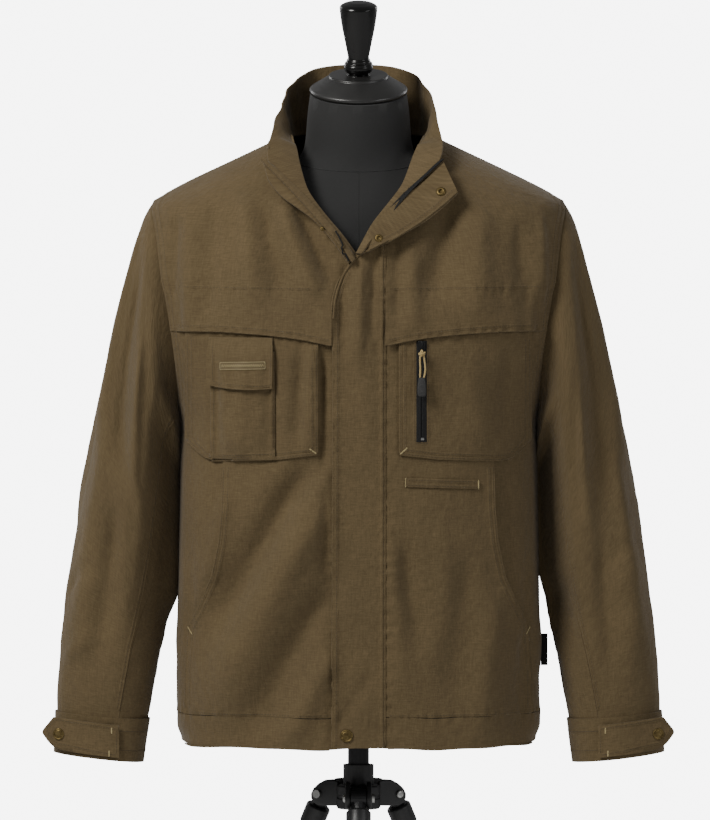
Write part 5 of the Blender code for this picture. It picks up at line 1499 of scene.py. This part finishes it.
class Stitches:
    """Stitches gathered for one mesh: copies of one short thread."""

    def __init__(self, name, size):
        self.name, self.size = name, np.array(size)
        self.points, self.faces, self.runs = [], [], []

    def add(self, at, along, out, size=None):
        out = Vector(out).normalized()
        along = (Vector(along) - out * Vector(along).dot(out)).normalized()
        across = out.cross(along)
        frame_of = np.array((along, across, out))
        first = len(self.points) * len(thread_points)
        self.points.append(np.array(at) + (thread_points * (self.size if size is None else size)) @ frame_of)
        self.faces += [tuple(i + first for i in face) for face in thread_faces]

    def row(self, tree, path, direction, pitch=0.0034, proud=0.00005):
        """A row along a path of points, laid on a tree."""
        path = np.array(path, dtype=float)
        steps = np.concatenate(([0.0], np.cumsum(np.linalg.norm(np.diff(path, axis=0), axis=1))))
        if steps[-1] < pitch:
            return
        at = np.arange(pitch / 2, steps[-1], pitch)
        spots = np.stack([np.interp(at, steps, path[:, i]) for i in range(3)], 1)
        ways = direction if isinstance(direction, list) else [direction] * len(path)
        ways = np.array([np.interp(at, steps, [w[i] for w in ways]) for i in range(3)]).T
        run = []
        for spot, way in zip(spots, ways):
            found = laid(tree, [spot], way, proud + 0.00012)
            if not found:
                self.runs.append(run)
                run = []
                continue
            here, out = found[0]
            if run and (here - run[-1][0]).length < 2.2 * pitch:
                self.add((here + run[-1][0]) / 2, here - run[-1][0], out)
            elif run:
                self.runs.append(run)
                run = []
            run.append((here, out))
        self.runs.append(run)

    def bar(self, tree, start, end, direction=ONTO_FRONT, width=0.0021):
        """A bartack: threads packed side by side along a short line."""
        count = max(8, int((Vector(end) - Vector(start)).length / 0.00055))
        spots = [Vector(start).lerp(Vector(end), i / count) for i in range(count + 1)]
        found = laid(tree, spots, direction, 0.0003)
        for (here, out), (after, _) in zip(found, found[1:]):
            lean = 0.25 if len(self.points) % 2 else -0.25
            run = (after - here).normalized()
            self.add(here, out.cross(run) + run * lean, out, np.array((width, 0.0007, 0.0009)))

    def ridges(self, name, mapped):
        """The cloth drawn up on both sides of each row, in low ridges that swell between the stitches."""
        points, faces = [], []
        for run in self.runs:
            if len(run) < 4:
                continue
            centre, out = (np.array([tuple(pair[i]) for pair in run]) for i in (0, 1))
            steps = np.concatenate(([0.0], np.cumsum(np.linalg.norm(np.diff(centre, axis=0), axis=1))))
            at = np.linspace(0.0, steps[-1], max(4, int(steps[-1] / 0.0017)))
            centre, out = (
                np.stack([np.interp(at, steps, a[:, i]) for i in range(3)], 1) for a in (centre, out)
            )
            out /= np.linalg.norm(out, axis=1)[:, None]
            along = np.gradient(centre, axis=0)
            across = np.cross(out, along)
            across /= np.linalg.norm(across, axis=1)[:, None]
            swell = (
                np.where(np.arange(len(at)) % 2, 1.3, 0.75)
                * np.clip(np.minimum(at, steps[-1] - at) / 0.004, 0.0, 1.0)
            )
            first = len(points)
            for offset, lift, share in (
                (-2.3, -0.25, 0), (-1.1, 0.42, 1), (0.0, -0.08, 0), (1.1, 0.42, 1), (2.3, -0.25, 0)
            ):
                lifts = np.where(share, -0.15 + (lift + 0.15) * swell, lift) / 1000
                points += list(centre + across * (offset / 1000) + out * lifts[:, None])
            count = len(at)
            for strand in range(4):
                for i in range(count - 1):
                    a = first + strand * count + i
                    faces.append((a, a + 1, a + count + 1, a + count))
        mesh = bpy.data.meshes.new(name)
        mesh.from_pydata(np.array(points).tolist(), [], faces)
        piece = bpy.data.objects.new(name, mesh)
        bpy.context.scene.collection.objects.link(piece)
        map_cloth(piece, *mapped(points_of(piece)))
        select_only(piece)
        bpy.ops.object.shade_smooth()
        return dress(piece, canvas, "form_and_jacket", "canvas")

    def mesh(self, material, slot, body="form_and_jacket"):
        mesh = bpy.data.meshes.new(self.name)
        mesh.from_pydata(np.concatenate(self.points).tolist(), [], self.faces)
        piece = bpy.data.objects.new(self.name, mesh)
        bpy.context.scene.collection.objects.link(piece)
        select_only(piece)
        bpy.ops.object.shade_smooth()
        return dress(piece, material, body, slot)


# The olive thread's colour is its own tone, deepened below the canvas as painted shade of the holes between
# stitches.
shaded_thread_finish = Finish("olive_thread_painted_shade", 0.70, Sheen_Weight=0.1)
ply = shaded_thread_finish.noise(shaded_thread_finish.place(), 1500.0, 2.0)
olive_thread_painted_shade = shaded_thread_finish.finish(
    shaded_thread_finish.ramp(ply, (0.3, (0.036, 0.024, 0.010)), (0.7, (0.062, 0.043, 0.020)))
)
gold_finish = Finish("gold_thread", 0.55, Sheen_Weight=0.2)
gold_ply = gold_finish.noise(gold_finish.place(), 1500.0, 2.0)
gold_thread = gold_finish.finish(
    gold_finish.ramp(gold_ply, (0.3, (0.33, 0.26, 0.11)), (0.7, (0.52, 0.43, 0.22)))
)

# One stitch as it shows: its length, width and height.
STITCH = (0.0027, 0.00062, 0.00050)
rows = Stitches("stitches_body", STITCH)


def front_row(points, tree=None, pitch=0.0034):
    rows.row(tree or front_tree, [(x, 0.0, z) for x, z in points], ONTO_FRONT, pitch)


YOKE_EDGE = ((0.0325, 1.2390), (0.0700, 1.2470), (0.1190, 1.2520), (0.1670, 1.2550), (0.2120, 1.2550))
PATCH_EDGE = (
    (0.0470, 1.2430), (0.0470, 1.1120), (0.0940, 1.1065), (0.1765, 1.1030), (0.2005, 1.1275),
    (0.2005, 1.2480)
)


def inset_line(points, by):
    """A line of (x, z) points moved to its left by a distance, mitred at its corners."""
    p = np.array(points, dtype=float)
    runs = np.diff(p, axis=0)
    runs /= np.linalg.norm(runs, axis=1)[:, None]
    normals = np.stack((-runs[:, 1], runs[:, 0]), 1)
    moved = []
    for i in range(len(p)):
        a, b = normals[max(i - 1, 0)], normals[min(i, len(normals) - 1)]
        mitre = a + b
        moved.append(p[i] + mitre / max(mitre @ mitre / 2, 0.4) * by)
    return moved


for side in (-1, 1):
    def mirrored(points):
        return [(side * x, z) for x, z in points]

    front_row(mirrored([(x, z + 0.0058) for x, z in YOKE_EDGE]))
    front_row(mirrored([(0.0350, 1.3040), (0.2130, 1.3062)]))
    for by in (0.0018, 0.0066):
        front_row(mirrored(inset_line(PATCH_EDGE, by)))
    for by in (0.0020, 0.0072):
        front_row(mirrored(inset_line(MOUTH, by)))
    front_row(mirrored([(0.0340, 0.8090), (0.1150, 0.8090), (0.2050, 0.8090)]))
placket_levels = (0.770, 1.060, 1.290, 1.305, 1.330)
placket_x = (-0.0306, -0.0294, -0.0285, -0.0240, -0.0120)
front_row([(np.interp(z, placket_levels, placket_x) + 0.0045, z) for z in np.linspace(0.773, 1.325, 80)])
for x in (0.0250, 0.0293):
    front_row([(x, 0.773), (x, 1.380)])
front_row([(-0.1680, 1.1900), (-0.1680, 1.1085), (-0.0988, 1.1085), (-0.0988, 1.1880)])
front_row(
    [
        (-0.1690, 1.2400), (-0.1690, 1.1965), (-0.1510, 1.1932), (-0.1150, 1.1912), (-0.1016, 1.1928),
        (-0.1016, 1.2400)
    ]
)
front_row([(0.0556, 1.0770), (0.1384, 1.0736)], pitch=0.0030)
front_row([(0.0556, 1.0832), (0.1384, 1.0798)], pitch=0.0030)
for x in (0.0652, 0.0806):
    front_row([(x, 1.1262), (x, 1.2420)], pitch=0.0028)
front_row([(0.0652, 1.1255), (0.0806, 1.1255)], pitch=0.0028)

body_tree = shell_tree(*body_pieces.values())
for side in (-1, 1):
    inward = (-side, 0.0, 0.0)
    for grown in (1.035, 1.115):
        hole = [
            (side * 0.30, AXIS_Y + 0.064 * grown * math.sin(t), 1.278 + 0.128 * grown * math.cos(t))
            for t in np.linspace(-2.75, -0.25, 60)
        ]
        rows.row(body_tree, hole, inward)
        rows.row(body_tree, [(x, 2 * AXIS_Y - y, z) for x, y, z in hole], inward)
    shoulder = [(side * x, AXIS_Y - 0.0042, 1.60) for x in np.linspace(0.088, 0.232, 40)]
    rows.row(body_tree, shoulder, (0, 0, -1))
    rows.row(body_tree, [(side * 0.30, AXIS_Y - 0.0045, z) for z in (0.812, 1.135)], inward)
back_down = (0.0, -1.0, 0.0)
rows.row(body_tree, [(x, 0.60, 0.8090) for x in np.linspace(-0.20, 0.20, 30)], back_down)
rows.row(body_tree, [(x, 0.60, 1.3300 - 0.35 * x * x) for x in np.linspace(-0.21, 0.21, 40)], back_down)
rows.row(body_tree, [(x, 0.60, 1.3245 - 0.35 * x * x) for x in np.linspace(-0.21, 0.21, 40)], back_down)
rows.mesh(olive_thread_painted_shade, "canvas")

rows.ridges("ridges_body", either_side)

neck_rows = Stitches("stitches_neck", STITCH)
collar_tree = shell_tree(collar_pieces["collar"])
collar_points = points_of(collar_pieces["collar"])
collar_turns = np.arctan2(collar_points[:, 0], collar_points[:, 1] - AXIS_Y)
rim, rim_out = [], []
for turn in np.linspace(-2.25, 2.25, 70):
    near = np.abs(collar_turns - turn) < 0.05
    if near.any():
        top = collar_points[near][np.argmax(collar_points[near][:, 2])]
        rim.append((top[0], top[1], top[2] - 0.0065))
        rim_out.append((-math.sin(turn), -math.cos(turn), 0.0))
neck_rows.row(collar_tree, rim, rim_out)
neck_rows.row(collar_tree, [(0.0, AXIS_Y, z) for _, _, z in rim], [(-x, -y, 0.0) for x, y, _ in rim_out])
neck_rows.row(lapel_tree, [(x, 0.0, z) for x, z in lapel_line(0.05, 0.96, 0.0058)], ONTO_FRONT)
neck_rows.mesh(olive_thread_painted_shade, "canvas")
neck_rows.ridges("ridges_neck", either_side)

sleeve_rows = Stitches("stitches_sleeves", STITCH)
for hand, side in (("right", -1), ("left", 1)):
    sleeve_tree = shell_tree(sleeve_pieces[f"sleeve_top_{hand}"])
    cuff_tree = shell_tree(sleeve_pieces[f"cuff_{hand}"])
    tab_tree = shell_tree(sleeve_pieces[f"cuff_tab_{hand}"])

    def round_sleeve(down, degrees):
        """A point at the sleeve's middle, and the way out from it."""
        outer_x, outer_z, inner_x, inner_z, depth, behind = (
            np.interp(down, SLEEVE_ROWS[:, 0], SLEEVE_ROWS[:, i]) for i in range(1, 7)
        )
        c, s = math.cos(math.radians(degrees)), math.sin(math.radians(degrees))
        middle = Vector((side * (outer_x + inner_x) / 2, AXIS_Y + behind, (outer_z + inner_z) / 2))
        way = Vector((side * (outer_x - inner_x) / 2 * c, -depth * s, (outer_z - inner_z) / 2 * c))
        return middle, way

    for start, end in ((139.5, 107.0), (238.5, 243.5)):
        path, ways = [], []
        for down in np.linspace(0.045, 0.985, 60):
            middle, way = round_sleeve(down, start + (end - start) * down)
            path.append(middle + way * 2)
            ways.append(tuple(-way.normalized()))
        sleeve_rows.row(sleeve_tree, path, ways)
        seam = []
        for down in np.linspace(0.045, 0.985, 120):
            middle, way = round_sleeve(down, start + (end - start) * down + (2.6 if start < 180 else -2.6))
            seam += [
                tuple(at)
                for at, _ in laid(sleeve_tree, [middle + way * 2], tuple(-way.normalized()), -0.0003)
            ]
        if start < 180:
            seam_roll = bead(f"edge_sleeve_{hand}", [Vector(at) for at in seam], 0.0011, 5)
            bpy.ops.object.shade_smooth()
            map_cloth(seam_roll, *sleeve_cloth(points_of(seam_roll), False))
            dress(seam_roll, canvas, "form_and_jacket", "canvas")
    for level in (1.032, 1.076):
        path, ways = [], []
        for degrees in np.linspace(-178.0, 178.0, 80):
            middle, way = round_sleeve(level, degrees)
            path.append(middle + way * 2)
            ways.append(tuple(-way.normalized()))
        sleeve_rows.row(cuff_tree, path, ways)
    outline = (
        (0.2830, 0.7595), (0.3540, 0.7712), (0.3630, 0.7810), (0.3650, 0.7880), (0.3540, 0.7985),
        (0.2830, 0.7905), (0.2830, 0.7595)
    )
    outline = [(x, z - 0.0016 + (x - 0.283) * 0.03) for x, z in outline]
    sleeve_rows.row(tab_tree, [(side * x, 0.0, z) for x, z in outline], ONTO_FRONT, 0.0030)
sleeve_rows.mesh(olive_thread_painted_shade, "canvas")
sleeve_rows.ridges("ridges_sleeves", lambda points: sleeve_cloth(points, False))

bars = Stitches("bartacks", (0.0021, 0.0007, 0.0009))
for start, end in (
    ((-0.0562, 1.1190), (-0.0484, 1.1132)),
    ((0.0484, 1.1132), (0.0566, 1.1206)),
    ((-0.1995, 0.9072), (-0.1938, 0.8990)),
    ((0.1962, 0.9002), (0.2006, 0.9078)),
    ((0.0546, 1.0750), (0.0546, 1.0855)),
    ((0.1392, 1.0715), (0.1392, 1.0820)),
):
    bars.bar(front_tree, (start[0], 0.0, start[1]), (end[0], 0.0, end[1]))
for side in (-1, 1):
    tab_tree = shell_tree(sleeve_pieces["cuff_tab_right" if side < 0 else "cuff_tab_left"])
    for x, low, high in ((0.2885, 0.7835, 0.7905), (0.2915, 0.7568, 0.7636)):
        bars.bar(tab_tree, (side * x, 0.0, low), (side * x, 0.0, high))
bars.mesh(gold_thread, "ribbon")

# The ribbon's woven border, and the gold zigzag between its edges.
ribbon_tree = shell_tree(ribbon)
border = Stitches("ribbon_border", (0.0021, 0.00085, 0.0006))
zigzag = Stitches("ribbon_zigzag", (0.0040, 0.00062, 0.0006))
LOW_LEFT, HIGH_RIGHT = (-0.1604, 1.2107), (-0.1081, 1.2198)
ribbon_rise = 0.0010  # the ribbon's right end is sewn on this much higher


def on_ribbon(across, up):
    """A point on the ribbon, by its shares of the ribbon's length and width."""
    x = LOW_LEFT[0] + (HIGH_RIGHT[0] - LOW_LEFT[0]) * across
    return (x, 0.0, LOW_LEFT[1] + (HIGH_RIGHT[1] - ribbon_rise - LOW_LEFT[1]) * up + ribbon_rise * across)


frame_path = [on_ribbon(*corner) for corner in ((0.0, 0.0), (0.0, 1.0), (1.0, 1.0), (1.0, 0.0), (0.0, 0.0))]
border.row(ribbon_tree, frame_path, ONTO_FRONT, 0.0021)
turns = laid(
    ribbon_tree, [on_ribbon(0.03 + 0.94 * i / 38, 0.26 + 0.48 * (i % 2)) for i in range(39)], ONTO_FRONT,
    0.0002
)
for (here, out), (after, _) in zip(turns, turns[1:]):
    zigzag.add(
        (here + after) / 2, after - here, out, np.array(((after - here).length * 0.96, 0.00062, 0.0006))
    )
border.mesh(gold_thread, "ribbon")
zigzag.mesh(gold_thread, "ribbon")
